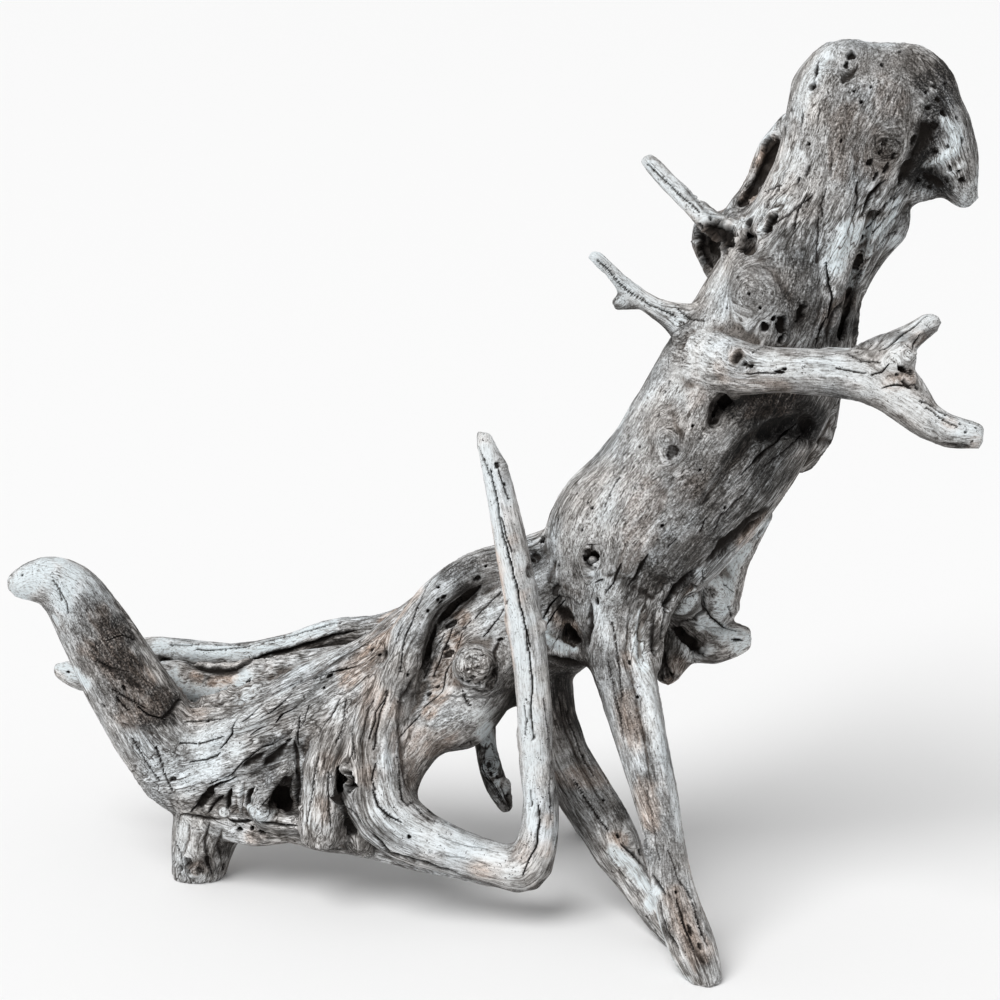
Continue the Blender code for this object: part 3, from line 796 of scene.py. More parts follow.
@dataclass
class Wood:
    """The whole piece of wood while it is worked: its skin and what is laid on it."""

    eye: Eye
    voxel: float = 2.7 * MM
    swell: float = 0.4 * MM
    smoothing: int = 12
    cell: float = 6
    # sky, seed, rays, sparse and far_sight set the painted shade where the sky is hidden: the direction it
    # is lit from, and how its rays are cast.
    sky: tuple[float, float, float] = (-0.45, -0.5, 0.9)
    seed: int = 7
    rays: int = 12
    sparse: int = 4
    levelling: int = 160
    far_sight: float = 350 * MM
    jump: float = 14 * MM
    broad: float = 40
    least_bending: float = 4
    least_ringed: float = 5
    ring: float = 3.4 * MM
    thick: float = 55 * MM
    ridge: float = 1.7 * MM
    furrow: float = 1 * MM
    strand: float = 0.42 * MM
    pit: float = 0.5 * MM
    bulge: float = 1.6 * MM
    spacing: float = 3
    wave: float = 17
    sway: float = 1.6
    swings: tuple[float, float] = (0.6, -0.62)
    finer: tuple[tuple[float, float], ...] = ((2.6 * MM, 9 * MM), (0.9 * MM, 3.5 * MM))
    # Painted shade in recesses: rounds of smoothing, depth scale and weight for each of three sizes.
    dips: tuple[tuple[float, ...], ...] = ((3, 0.35 * MM, 0.35), (12, 0.9 * MM, 0.45), (45, 2.6 * MM, 0.5))
    names: list[str] = field(default_factory=list)
    spots: list[tuple[Hole | Knot, Spot]] = field(default_factory=list)
    paths: list[tuple[Crack | Fold, np.ndarray]] = field(default_factory=list)
    stained: list[tuple[Stain, list[tuple[np.ndarray, float]]]] = field(default_factory=list)
    skin: Skin = field(init=False)
    tree: BVHTree = field(init=False)
    first_owner: np.ndarray = field(init=False)
    places: dict[Layer, np.ndarray] = field(init=False)
    share: np.ndarray = field(init=False)
    radius: np.ndarray = field(init=False)
    relief: Relief = field(init=False)
    outward: np.ndarray = field(init=False)
    # Painted shade in recesses, from 0 to 1.
    wear_and_recess_shade: np.ndarray = field(init=False)

    def grow(self, nodes: dict[str, bpy.types.Object]) -> None:
        """Grows the solids together into one smooth skin.

        Args:
            nodes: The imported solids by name.
        """
        self.names = sorted(nodes)
        points, faces, owner, count = [], [], [], 0
        for index, name in enumerate(self.names):
            place, corners = triangles(nodes[name].data)
            place, back = np.unique(place, axis=0, return_inverse=True)
            points.append(place)
            faces.append(back.reshape(-1)[corners] + count)
            owner += [index] * len(corners)
            count += len(place)
        place, corners = np.concatenate(points).astype(float), np.concatenate(faces)
        solid = Skin(place, corners, np.array(owner), np.zeros(0))
        data = bpy.data.meshes.new("grown")
        data.from_pydata((solid.points + solid.normals() * self.swell).tolist(), [], solid.faces.tolist())
        made = bpy.data.objects.new("grown", data)
        bpy.context.scene.collection.objects.link(made)
        remesh = made.modifiers.new("grow", "REMESH")
        remesh.mode = "VOXEL"
        remesh.voxel_size = self.voxel
        graph = bpy.context.evaluated_depsgraph_get()
        place, corners = triangles(made.evaluated_get(graph).to_mesh())
        bpy.data.objects.remove(made)
        self.skin = Skin(place.astype(float), corners, np.zeros(0, int), np.zeros(0))
        edges = self.skin.edges()
        for _ in range(self.smoothing):
            for share in self.swings:
                self.skin.points = self.skin.spread(self.skin.points, edges, 1, share)
        solids = BVHTree.FromPolygons(solid.points.tolist(), solid.faces.tolist())
        middles = self.skin.points[self.skin.faces].mean(1)
        nearest = [solids.find_nearest(middle)[2] for middle in middles.tolist()]
        self.skin.owner = solid.owner[np.array(nearest)]
        self.first_owner = self.skin.owner.copy()
        self.tree = BVHTree.FromPolygons(self.skin.points.tolist(), self.skin.faces.tolist())
        LOG.info("grown: %d points, %d faces", len(self.skin.points), len(self.skin.faces))

    def mend(self, groups: tuple[LimbGroup, ...]) -> None:
        """Draws the filled furrows level, then measures how far the sky is hidden from the wood, for its
        painted shade.

        Args:
            groups: The limbs, with their fills.
        """
        skin = self.skin
        skin.sort()
        edges = skin.edges()
        for group, fill in ((group, fill) for group in groups for fill in group.fills):
            hits = [self.seen(*place, group.nodes + group.beside) for place in fill.path]
            line = np.array([hit[0] for hit in hits if hit])
            moved = np.zeros(len(skin.points), bool)
            moved[self.beside(line, fill.width * MM / 2)[0]] = True
            used, ends = np.unique(edges[moved[edges].any(1)], return_inverse=True)
            ends, local, free = ends.reshape(-1, 2), skin.points[used], moved[used]
            count = np.bincount(ends.ravel(), minlength=len(used))[:, None]
            for _ in range(self.levelling):
                total = np.zeros_like(local)
                for axis, (one, two) in itertools.product(range(3), (ends.T, ends.T[::-1])):
                    total[:, axis] += np.bincount(one, local[two, axis], len(used))
                local[free] = (total / count)[free]
            skin.points[used] = local
        skin.sort()
        self.tree = BVHTree.FromPolygons(skin.points.tolist(), skin.faces.tolist())
        skin.sky_shade = self.measure_sky_shade(edges)
        LOG.info("mended")

    def part(self, piece: str, node: str, axis: int, limit: float) -> None:
        """Makes a piece of its own from one end of a limb.

        Args:
            piece: The new piece's name.
            node: The solid that the limb stands for.
            axis: The direction to measure in: 0 across, 1 back or 2 up.
            limit: Where the end begins, in metres.
        """
        self.names.append(piece)
        middles = self.skin.points[self.skin.faces].mean(1)
        chosen = (self.skin.owner == self.names.index(node)) & (middles[:, axis] > limit)
        self.skin.owner[chosen] = len(self.names) - 1

    def seen(
        self, across: float, down: float, nodes: tuple[str, ...]
    ) -> tuple[np.ndarray, np.ndarray] | None:
        """Finds the wood that the eye sees at a place on the board.

        Args:
            across: The place, from the board's left edge.
            down: The place, from its top edge.
            nodes: The solids that count.

        Returns:
            The point and its outward direction, or None where something else or nothing is seen.
        """
        start = self.eye.position()
        along = unit(self.eye.place(across, down, 0) - start)
        point, outward, face, _ = self.tree.ray_cast(Vector(start), Vector(along))
        if point is None or self.names[self.first_owner[face]] not in nodes:
            return None
        return np.array(point), np.array(outward)

    def heading(self, grains: list[Grain], points: np.ndarray) -> np.ndarray:
        """Finds which way the grain runs.

        Args:
            grains: All the grain.
            points: Places on the wood.

        Returns:
            The direction at each.
        """
        best, heading = np.full(len(points), FAR), np.tile((0.0, 0.0, 1.0), (len(points), 1))
        for grain in grains:
            lie = grain.follow(self.eye, points)
            closer = lie.near < best
            best[closer] = lie.near[closer]
            heading[closer] = lie.heading[closer]
        return heading

    def aim(self, group: LimbGroup, grains: list[Grain]) -> None:
        """Finds where a group's marks meet the wood. What the eye doesn't see there is left out.

        Args:
            group: The limbs that hold the marks.
            grains: All the grain.
        """
        nodes = group.nodes + group.beside
        planned = (*group.knots, *group.holes)
        marks = [(mark, self.seen(mark.across, mark.down, nodes)) for mark in planned]
        marks = [(mark, hit) for mark, hit in marks if hit]
        if marks:
            ahead = self.heading(grains, np.array([hit[0] for _, hit in marks]))
            self.spots += [(mark, Spot(*hit, way)) for (mark, hit), way in zip(marks, ahead)]
        sway = Noise(Seed.SWAY)
        for crack in (*group.folds, *group.cracks):
            path = []
            for (x0, y0), (x1, y1) in zip(crack.path, crack.path[1:]):
                steps = max(1, round(math.hypot(x1 - x0, y1 - y0) / self.spacing))
                path += [(x0 + (x1 - x0) * i / steps, y0 + (y1 - y0) * i / steps) for i in range(steps)]
            path = np.array([*path, crack.path[-1]], float)
            waves = np.column_stack([path / self.wave, np.zeros(len(path))])
            path += np.column_stack([sway.at(waves), sway.at(waves + 31.7)]) * self.sway
            hits = [self.seen(*place, nodes) for place in path.tolist()]
            line = np.array([hit[0] for hit in hits if hit]).reshape(-1, 3)
            gaps = np.linalg.norm(np.diff(line, axis=0), axis=1)
            runs = np.split(line, np.flatnonzero(gaps > self.jump) + 1)
            self.paths += [(crack, run) for run in runs if len(run) > 2]
        for stain in group.stains:
            places = list(stain.places[:1])
            for (x0, y0, r0), (x1, y1, r1) in zip(stain.places, stain.places[1:]):
                away = math.hypot(x1 - x0, y1 - y0)
                steps = max(1, round(away / (0.5 * min(r0, r1)))) if away < 1.8 * (r0 + r1) else 1
                for share in ((i + 1) / steps for i in range(steps)):
                    places.append((x0 + (x1 - x0) * share, y0 + (y1 - y0) * share, r0 + (r1 - r0) * share))
            hits = [(self.seen(x, y, nodes), radius * MM) for x, y, radius in places]
            self.stained.append((stain, [(hit[0], radius) for hit, radius in hits if hit]))

    def weather(self, weather: Weather, grains: list[Grain]) -> None:
        """Scatters marks over the wood that the eye doesn't see.

        Args:
            weather: How many, and how far from face on.
            grains: All the grain.
        """
        draw = np.random.default_rng(weather.seed)
        middles = self.skin.points[self.skin.faces].mean(1)
        outward = unit(self.skin.flat_normals())
        turned = (unit(self.eye.position() - middles) * outward).sum(1) < weather.facing
        hidden = np.flatnonzero(turned & (middles[:, 2] > weather.clear))
        kinds = [Hole] * weather.bores + [Knot] * weather.knots + [Crack] * weather.cracks
        kinds += [Fold] * weather.furrows + [Stain] * weather.streaks
        chosen = draw.choice(hidden, len(kinds), replace=False)
        ahead = self.heading(grains, middles[chosen])
        for index, (kind, face, way) in enumerate(zip(kinds, chosen.tolist(), ahead)):
            spot = Spot(middles[face], outward[face], way)
            size, other = draw.random(), draw.random()
            line = [spot.point]
            for _ in range(int(6 + 22 * size)):
                step = Vector(line[-1] + way * weather.step)
                line.append(np.array(self.tree.find_nearest(step)[0]))
            if kind is Hole:
                radius = 1.1 + 2.2 * size**3 + (4 if other > 0.94 else 0)
                self.spots.append((Hole(0, 0, radius, 4 + 2 * size, 1 + size), spot))
            elif kind is Knot:
                self.spots.append((Knot(0, 0, 7 + 8 * size, 1.5 + 2 * size, 1.5), spot))
            elif kind is Crack:
                self.paths.append((Crack(1.1 + 1.2 * other, 2.5 + 2 * size), np.array(line)))
            elif kind is Fold:
                depth = 3 + 3 * other if index % 3 else -2 - 1.5 * other
                self.paths.append((Fold(7 + 9 * size, depth, 0.9 * max(0, other - 0.2)), np.array(line)))
            else:
                held = [(point, (6 + 11 * other) * MM) for point in line[::2]]
                self.stained.append((Stain(*weather.tones[index % len(weather.tones)]), held))

    def refine(self) -> None:
        """Gives the skin points enough for its marks, in two steps."""
        for room, small in self.finer:
            chosen = np.zeros(len(self.skin.points), bool)
            for mark, spot in self.spots:
                reach = mark.radius * MM * 1.25 + (room if mark.radius < 12 else room / 2)
                if mark.radius * MM > small * 3:
                    continue
                near, gap = spot.measure(self.skin, mark.stretch, reach)
                chosen[near[gap < reach]] = True
            for crack, line in self.paths:
                reach = min(crack.width, 8) * MM
                if crack.width > 5 and room < 2 * MM:
                    continue
                near, gap, _ = self.beside(line, reach + room)
                chosen[near[gap < reach / 2 + room / 1.6]] = True
            self.skin.refine(chosen)
        LOG.info("refined: %d points, %d faces", len(self.skin.points), len(self.skin.faces))

    def beside(self, line: np.ndarray, reach: float) -> tuple[np.ndarray, np.ndarray, np.ndarray]:
        """Measures how points lie beside a line on the skin.

        Args:
            line: The line's points.
            reach: How far to look, in metres.

        Returns:
            The points near the line, how far each is from it, and the share of the line's length there.
        """
        near = self.skin.within(line.min(0) - reach, line.max(0) + reach)
        local, gap, place = self.skin.points[near], np.full(len(near), FAR), np.zeros(len(near))
        lengths = np.linalg.norm(np.diff(line, axis=0), axis=1)
        ends = np.concatenate([[0], np.cumsum(lengths)]) / lengths.sum()
        for index, (start, end) in enumerate(zip(line, line[1:])):
            step = end - start
            share = np.clip((local - start) @ step / max(step @ step, 1e-12), 0, 1)
            away = np.linalg.norm(local - start - share[:, None] * step, axis=1)
            closer = away < gap
            gap[closer] = away[closer]
            place[closer] = (ends[index] + share * (ends[index + 1] - ends[index]))[closer]
        kept = gap < reach
        return near[kept], gap[kept], place[kept]

    def bent(self) -> np.ndarray:
        """Moves points apart round each knot and hole, as the grain is.

        Returns:
            The skin's moved points.
        """
        moved = self.skin.points.copy()
        for mark, spot in self.spots:
            if mark.radius < self.least_bending:
                continue
            size = mark.radius * MM * 1.15
            near, gap = spot.measure(self.skin, 1.3, size * 4.5)
            offset = self.skin.points[near] - spot.point
            rest = offset - (offset @ spot.heading)[:, None] * spot.heading
            share = np.minimum(size**2 / np.maximum(gap, 1e-6) ** 2, 1)
            moved[near] -= rest * (share * smoothstep(4.2, 2.2, gap / size))[:, None]
        return moved

    def lay_grain(self, grains: list[Grain]) -> None:
        """Gives each point its place in both layers of grain, and its share of the second.

        Args:
            grains: All the grain.
        """
        moved = self.bent()
        count = len(moved)
        self.places = {layer: np.zeros((count, 3)) for layer in Layer}
        nearness = {layer: np.full(count, FAR) for layer in Layer}
        radius = {layer: np.full(count, 30 * MM) for layer in Layer}
        for number, grain in enumerate(grains):
            lie = grain.follow(self.eye, moved)
            closer = lie.near < nearness[grain.layer]
            nearness[grain.layer][closer] = lie.near[closer]
            radius[grain.layer][closer] = lie.radius[closer]
            self.places[grain.layer][closer] = lie.place[closer] + 0.37 * number
        self.share = smoothstep(-0.3, 0.3, nearness[Layer.STEM] - nearness[Layer.BRANCH])
        self.radius = radius[Layer.STEM] + (radius[Layer.BRANCH] - radius[Layer.STEM]) * self.share
        for mark, spot in self.spots:
            if isinstance(mark, Knot) and mark.radius >= self.least_ringed:
                self.lay_end_grain(mark, spot)
        warp = Noise(Seed.WARP)
        for place in self.places.values():
            slow = place * (1, 1, 0.35)
            for axis in (0, 1):
                shift = 3.6 * MM * warp.at(slow / (46 * MM) + 9.1 * axis)
                shift += 2.0 * MM * warp.at(place * (1, 1, 0.55) / (21 * MM) + 2.3 * axis)
                shift += 1.0 * MM * warp.at(place * (1, 1, 0.6) / (10 * MM) + 4.7 * axis)
                place[:, axis] += shift

    def lay_end_grain(self, mark: Knot, spot: Spot) -> None:
        """Turns the grain inside a knot, so that it runs round the middle.

        Args:
            mark: The knot.
            spot: Where it is.
        """
        size = mark.radius * MM
        near, gap = spot.measure(self.skin, 1, size * 1.2)
        held = smoothstep(1.15, 0.8, gap / size)
        near, held = near[held > 0], held[held > 0]
        side = unit(np.cross(spot.outward, spot.heading))
        axes = np.array([side, np.cross(spot.outward, side), spot.outward])
        target = 1.0 if self.share[near].mean() < 0.5 else 0.0
        local = (self.skin.points[near] - spot.point) @ axes.T
        out = np.hypot(local[:, 0], local[:, 1])
        turn = np.arctan2(local[:, 1], local[:, 0])
        ring = np.column_stack([out, local[:, 2] + 0.35 * size * np.sin(turn), 1.6 * size * np.cos(turn)])
        self.places[Layer(target)][near] = ring + spot.point * 7
        self.share[near] += (target - self.share[near]) * held

    def both(self, seed: Seed, size: float, stretch: float) -> np.ndarray:
        """Reads noise that is drawn out along the grain of both layers.

        Args:
            seed: Which noise.
            size: The length of its waves across the grain, in millimetres.
            stretch: How much longer they are along it.

        Returns:
            Its value at each point.
        """
        noise, scale = Noise(seed), np.array([1, 1, 1 / stretch]) / (size * MM)
        stem, branch = (noise.at(self.places[layer] * scale) for layer in Layer)
        return stem + (branch - stem) * self.share

    def carve(self) -> None:
        """Works out the relief: ridges and furrows along the grain, then every mark."""
        points, tone = self.skin.points, self.stain()
        size = np.clip(self.radius / self.thick, 0.25, 1)
        rough, root = 1 - 0.8 * tone[:, Tone.PLAIN.value], np.sqrt(size)
        push = self.ridge * size * rough * (0.45 - np.abs(self.both(Seed.RIDGE, 26, 9)) * 1.6)
        push += self.furrow * root * rough * (0.4 - np.abs(self.both(Seed.FURROW, 11, 8)) * 1.4)
        push += self.strand * root * self.both(Seed.STRAND, 5.5, 7)
        # Patches where the surface is pitted.
        wear_and_recess_shade = smoothstep(0.1, 0.6, Noise(Seed.WEAR).at(points / (70 * MM)))
        push += self.pit * wear_and_recess_shade * root * Noise(Seed.PIT).rough(points / (7 * MM))
        push += self.bulge * size * Noise(Seed.SWELL).at(points / (48 * MM))
        self.relief = Relief(push, *np.zeros((3, len(points))), tone)
        hole_rim, knot_rim, ragged = Noise(Seed.HOLE), Noise(Seed.KNOT), Noise(Seed.CRACK)
        for mark, spot in self.spots:
            if isinstance(mark, Hole):
                self.bore(mark, spot, hole_rim)
            else:
                self.raise_knot(mark, spot, knot_rim)
        for crack, line in self.paths:
            self.crease(crack, line, ragged)

    def bore(self, hole: Hole, spot: Spot, rim: Noise) -> None:
        """Works a hole into the relief.

        Args:
            hole: The hole.
            spot: Where it is.
            rim: What makes its rim ragged.
        """
        relief, radius = self.relief, hole.radius * MM
        near, away = spot.measure(self.skin, hole.stretch, radius * 3.2)
        away = away / radius
        held = smoothstep(hole.peg - 0.15, hole.peg + 0.15, away) if hole.peg else 1.0
        ragged = 0.24 + 0.025 * min(hole.radius, 9)
        away = away + ragged * rim.rough(self.skin.points[near] / min(radius * 1.2, 6 * MM))
        relief.push[near] += smoothstep(2.0, 1.1, away) * 0.1 * radius
        deep = smoothstep(1.1, 0.75, away) * hole.depth * MM * held
        relief.dent[near] = np.maximum(relief.dent[near], deep)
        # Painted shade inside the hole.
        relief.gap[near] = np.maximum(relief.gap[near], hole.dark * smoothstep(1.05, 0.8, away) * held)

    def raise_knot(self, knot: Knot, spot: Spot, rim: Noise) -> None:
        """Works a knot with its rings into the relief.

        Args:
            knot: The knot.
            spot: Where it is.
            rim: What makes its rim uneven.
        """
        relief, radius = self.relief, knot.radius * MM
        near, away = spot.measure(self.skin, knot.stretch, radius * 3.2)
        away = away / radius + 0.32 * rim.at(self.skin.points[near] / (radius * 1.2))
        # No painted shade of a hole or crack over the knot.
        relief.gap[near] *= smoothstep(0.7, 1.1, away)
        relief.push[near] += knot.rise * MM * smoothstep(1.7, 0.3, away)
        relief.push[near] -= knot.dip * MM * smoothstep(0.55, 0.2, away)
        wave = 0.5 + 0.5 * np.cos(away * radius / self.ring * 2 * math.pi)
        held = smoothstep(1.9, 0.9, away)
        relief.ring[near] = np.maximum(relief.ring[near], wave * held * knot.rings)
        relief.push[near] -= 0.5 * MM * wave * held * knot.rings
        # Painted shade in a dipped knot's middle.
        middle = smoothstep(0.5, 0.2, away) * min(1, knot.dip / 4)
        relief.gap[near] = np.maximum(relief.gap[near], middle)

    def crease(self, crack: Crack | Fold, line: np.ndarray, ragged: Noise) -> None:
        """Works a crack, a furrow or a strand into the relief.

        Args:
            crack: What it is.
            line: Where it runs.
            ragged: What makes its sides uneven.
        """
        relief, half = self.relief, crack.width * MM / 2
        near, away, place = self.beside(line, (crack.width + 3) * MM)
        wide = half * np.clip(np.minimum(place, 1 - place) / 0.25, 0.45, 1)
        local = self.skin.points[near]
        if isinstance(crack, Fold):
            broad = crack.width > self.broad
            away = away / (half if broad else wide) * (1 + 0.3 * ragged.rough(local / (9 * MM)))
            ends = 1.0 if broad else smoothstep(0.0, 0.15, np.minimum(place, 1 - place))
            deep = smoothstep(1.0, 0.1, away) * ends * crack.depth * MM
            relief.push[near] += np.maximum(-deep, 0)
            # Painted shade in the furrow.
            dark = crack.dark * smoothstep(0.9, 0.5, away) * ends
        else:
            away = away / np.maximum(wide * (0.95 + 0.35 * ragged.at(local / (14 * MM))), 0.55 * MM)
            relief.push[near] += smoothstep(2.6, 1.4, away) * 0.25 * half
            deep = smoothstep(1.25, 0.5, away) * crack.depth * MM
            # Painted shade in the crack.
            dark = min(1, 0.3 + crack.depth / 6) * smoothstep(1.3, 0.7, away)
        relief.dent[near] = np.maximum(relief.dent[near], deep)
        relief.gap[near] = np.maximum(relief.gap[near], dark)

    def stain(self) -> np.ndarray:
        """Works out the patches of colour.

        Returns:
            The strength of each tone at each point.
        """
        points = self.skin.points
        tone = np.zeros((len(points), len(Tone)))
        edge = 1 + 0.35 * Noise(Seed.STAIN).rough(points / (16 * MM)) + 0.3 * self.both(Seed.STREAK, 9, 8)
        for stain, places in self.stained:
            column = tone[:, stain.tone.value]
            for point, radius in places:
                near = self.skin.within(point - radius * 1.8, point + radius * 1.8)
                away = np.linalg.norm(points[near] - point, axis=1) / radius * edge[near]
                column[near] = np.maximum(column[near], stain.strength * smoothstep(1.25, 0.45, away))
        return tone

    def press(self) -> None:
        """Presses the relief into the skin, and measures its hollows for painted shade."""
        skin = self.skin
        skin.points = skin.points + skin.normals() * (self.relief.push - self.relief.dent)[:, None]
        skin.points[:, 2] = np.maximum(skin.points[:, 2], 0)
        self.outward = skin.normals()
        # Painted shade in recesses: how far each point lies below the skin smoothed at three sizes.
        recess_shade = np.zeros(len(skin.points))
        edges, smooth = skin.edges(), skin.points
        for rounds, scale, weight in self.dips:
            smooth = skin.spread(smooth, edges, rounds)
            depth = ((smooth - skin.points) * self.outward).sum(1)
            recess_shade += weight * np.clip(depth / scale, -0.4, 1.6)
        self.wear_and_recess_shade = smoothstep(0.12, 1.15, recess_shade)
        LOG.info("pressed")

    def measure_sky_shade(self, edges: np.ndarray) -> np.ndarray:
        """Measures how far the sky is hidden from each point, for painted shade that darkens the wood there.

        Args:
            edges: The skin's edges.

        Returns:
            For each point 0 in the open and towards 1 in a recess or under a limb.
        """
        draw = np.random.default_rng(self.seed)
        points, outward = self.skin.points, self.skin.normals()
        sky = unit(np.array(self.sky))
        away = smoothstep(0.25, -0.25, (unit(self.eye.position() - points) * outward).sum(1))
        count = len(points)
        chosen = draw.choice(count, count // self.sparse, replace=False)
        seen, known = np.zeros(count), np.zeros(count)
        known[chosen] = 1
        for index in chosen.tolist():
            ways = unit(unit(draw.normal(size=(self.rays, 3))) + outward[index] * 1.001)
            light = np.maximum(ways @ sky, 0) * 0.75 + 0.25
            start = Vector(points[index] + outward[index] * 0.8 * MM)
            hits = [self.tree.ray_cast(start, Vector(way), self.far_sight) for way in ways.tolist()]
            share = light @ [hit[0] is None for hit in hits]
            seen[index] = share / self.rays * (1 - away[index]) + 0.55 * share / light.sum() * away[index]
        spread = self.skin.spread(np.column_stack([seen, known]), edges, 12)
        return 1 - smoothstep(0.02, 0.62, spread[:, 0] / np.maximum(spread[:, 1], 1e-6))

    def lids(
        self, points: np.ndarray, outward: np.ndarray, faces: np.ndarray
    ) -> tuple[list[list[float]], list[tuple[int, int, int]], list[int]]:
        """Closes a limb where it was cut: each rim gets a middle inside the wood, and faces to it.

        Args:
            points: The limb's points.
            outward: The outward direction at each.
            faces: The corners of its faces.

        Returns:
            The middles, the faces that join them to the rims, and one point on each rim.
        """
        ahead = np.concatenate([faces[:, [0, 1]], faces[:, [1, 2]], faces[:, [2, 0]]])
        count = len(points)
        keys = ahead[:, 0] * count + ahead[:, 1]
        open_edges = ahead[~np.isin(keys, ahead[:, 1] * count + ahead[:, 0])].tolist()
        group = {point: point for edge in open_edges for point in edge}

        def root(point: int) -> int:
            """Finds the point that stands for a rim.

            Args:
                point: One of the rim's points.

            Returns:
                The point that stands for it.
            """
            while group[point] != point:
                group[point] = group[group[point]]
                point = group[point]
            return point

        for start, end in open_edges:
            group[root(start)] = root(end)
        rims = sorted({root(point) for point in group})
        middles = []
        for rim in rims:
            held = [point for point in group if root(point) == rim]
            middle = points[held].mean(0)
            reach = np.linalg.norm(points[held] - middle, axis=1).mean()
            middles.append((middle - outward[held].mean(0) * reach * 0.6).tolist())
        return middles, [(end, start, count + rims.index(root(start))) for start, end in open_edges], rims

    def cut(self, name: str) -> bpy.types.Object:
        """Parts one limb from the skin.

        Args:
            name: The solid or piece that the limb stands for.

        Returns:
            The limb as a closed mesh that holds the skin's values, lidded where it was cut.
        """
        chosen = self.skin.owner == self.names.index(name)
        used, corners = np.unique(self.skin.faces[chosen], return_inverse=True)
        corners = corners.reshape(-1, 3)
        points = self.skin.points[used]
        middles, lids, rims = self.lids(points, self.outward[used], corners)
        data = bpy.data.meshes.new(name)
        data.from_pydata([*points.tolist(), *middles], [], [*corners.tolist(), *lids])
        used = np.concatenate([used, used[rims]]).astype(int)
        stem, branch = (self.places[layer] * (1 / MM, 1 / MM, 1 / (MM * self.cell)) for layer in Layer)
        tone = self.relief.tone
        values = {
            "grain_stem": stem,
            "grain_branch": branch,
            "grain_share": self.share,
            "tone": tone[:, :3],
            # Painted shade: in hollows and clefts, where the sky is hidden, and in recesses, holes, cracks
            # and creases.
            "hollow": tone[:, Tone.HOLLOW.value],
            "plain": tone[:, Tone.PLAIN.value],
            "sky_shade": self.skin.sky_shade,
            "wear": np.column_stack([self.wear_and_recess_shade, self.relief.gap, self.relief.ring]),
        }
        for title, rows in values.items():
            kind, slot = ("FLOAT", "value") if rows.ndim == 1 else ("FLOAT_VECTOR", "vector")
            held = data.attributes.new(title, kind, "POINT")
            held.data.foreach_set(slot, rows[used].astype(np.float32).ravel())
        data.shade_smooth()
        data.normals_split_custom_set_from_vertices(self.outward[used].tolist())
        limb = bpy.data.objects.new(f"{name}_wood", data)
        bpy.context.scene.collection.objects.link(limb)
        return limb


@dataclass
class LimbGroup:
    """Limbs that belong together: the solids they stand for, their grain, their marks and their finish."""

    nodes: tuple[str, ...] = ()
    beside: tuple[str, ...] = ()
    grains: tuple[Grain, ...] = ()
    fills: tuple[Fill, ...] = ()
    holes: tuple[Hole, ...] = ()
    knots: tuple[Knot, ...] = ()
    cracks: tuple[Crack, ...] = ()
    folds: tuple[Fold, ...] = ()
    stains: tuple[Stain, ...] = ()
    ends: tuple[tuple[str, str, int, float], ...] = ()
    finish: WoodFinish = WoodFinish()

    def build(self, wood: Wood) -> None:
        """Parts the group's limbs from the wood and dresses them.

        Args:
            wood: The worked wood.
        """
        for end in self.ends:
            wood.part(*end)
        for piece, node in [*zip(self.nodes, self.nodes), *(end[:2] for end in self.ends)]:
            limb = wood.cut(piece)
            limb.data.materials.append(self.finish.material(f"{piece}_weathered_wood"))
            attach(limb, "root")
            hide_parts(node)
            LOG.info("%s: %d faces", limb.name, len(limb.data.polygons))


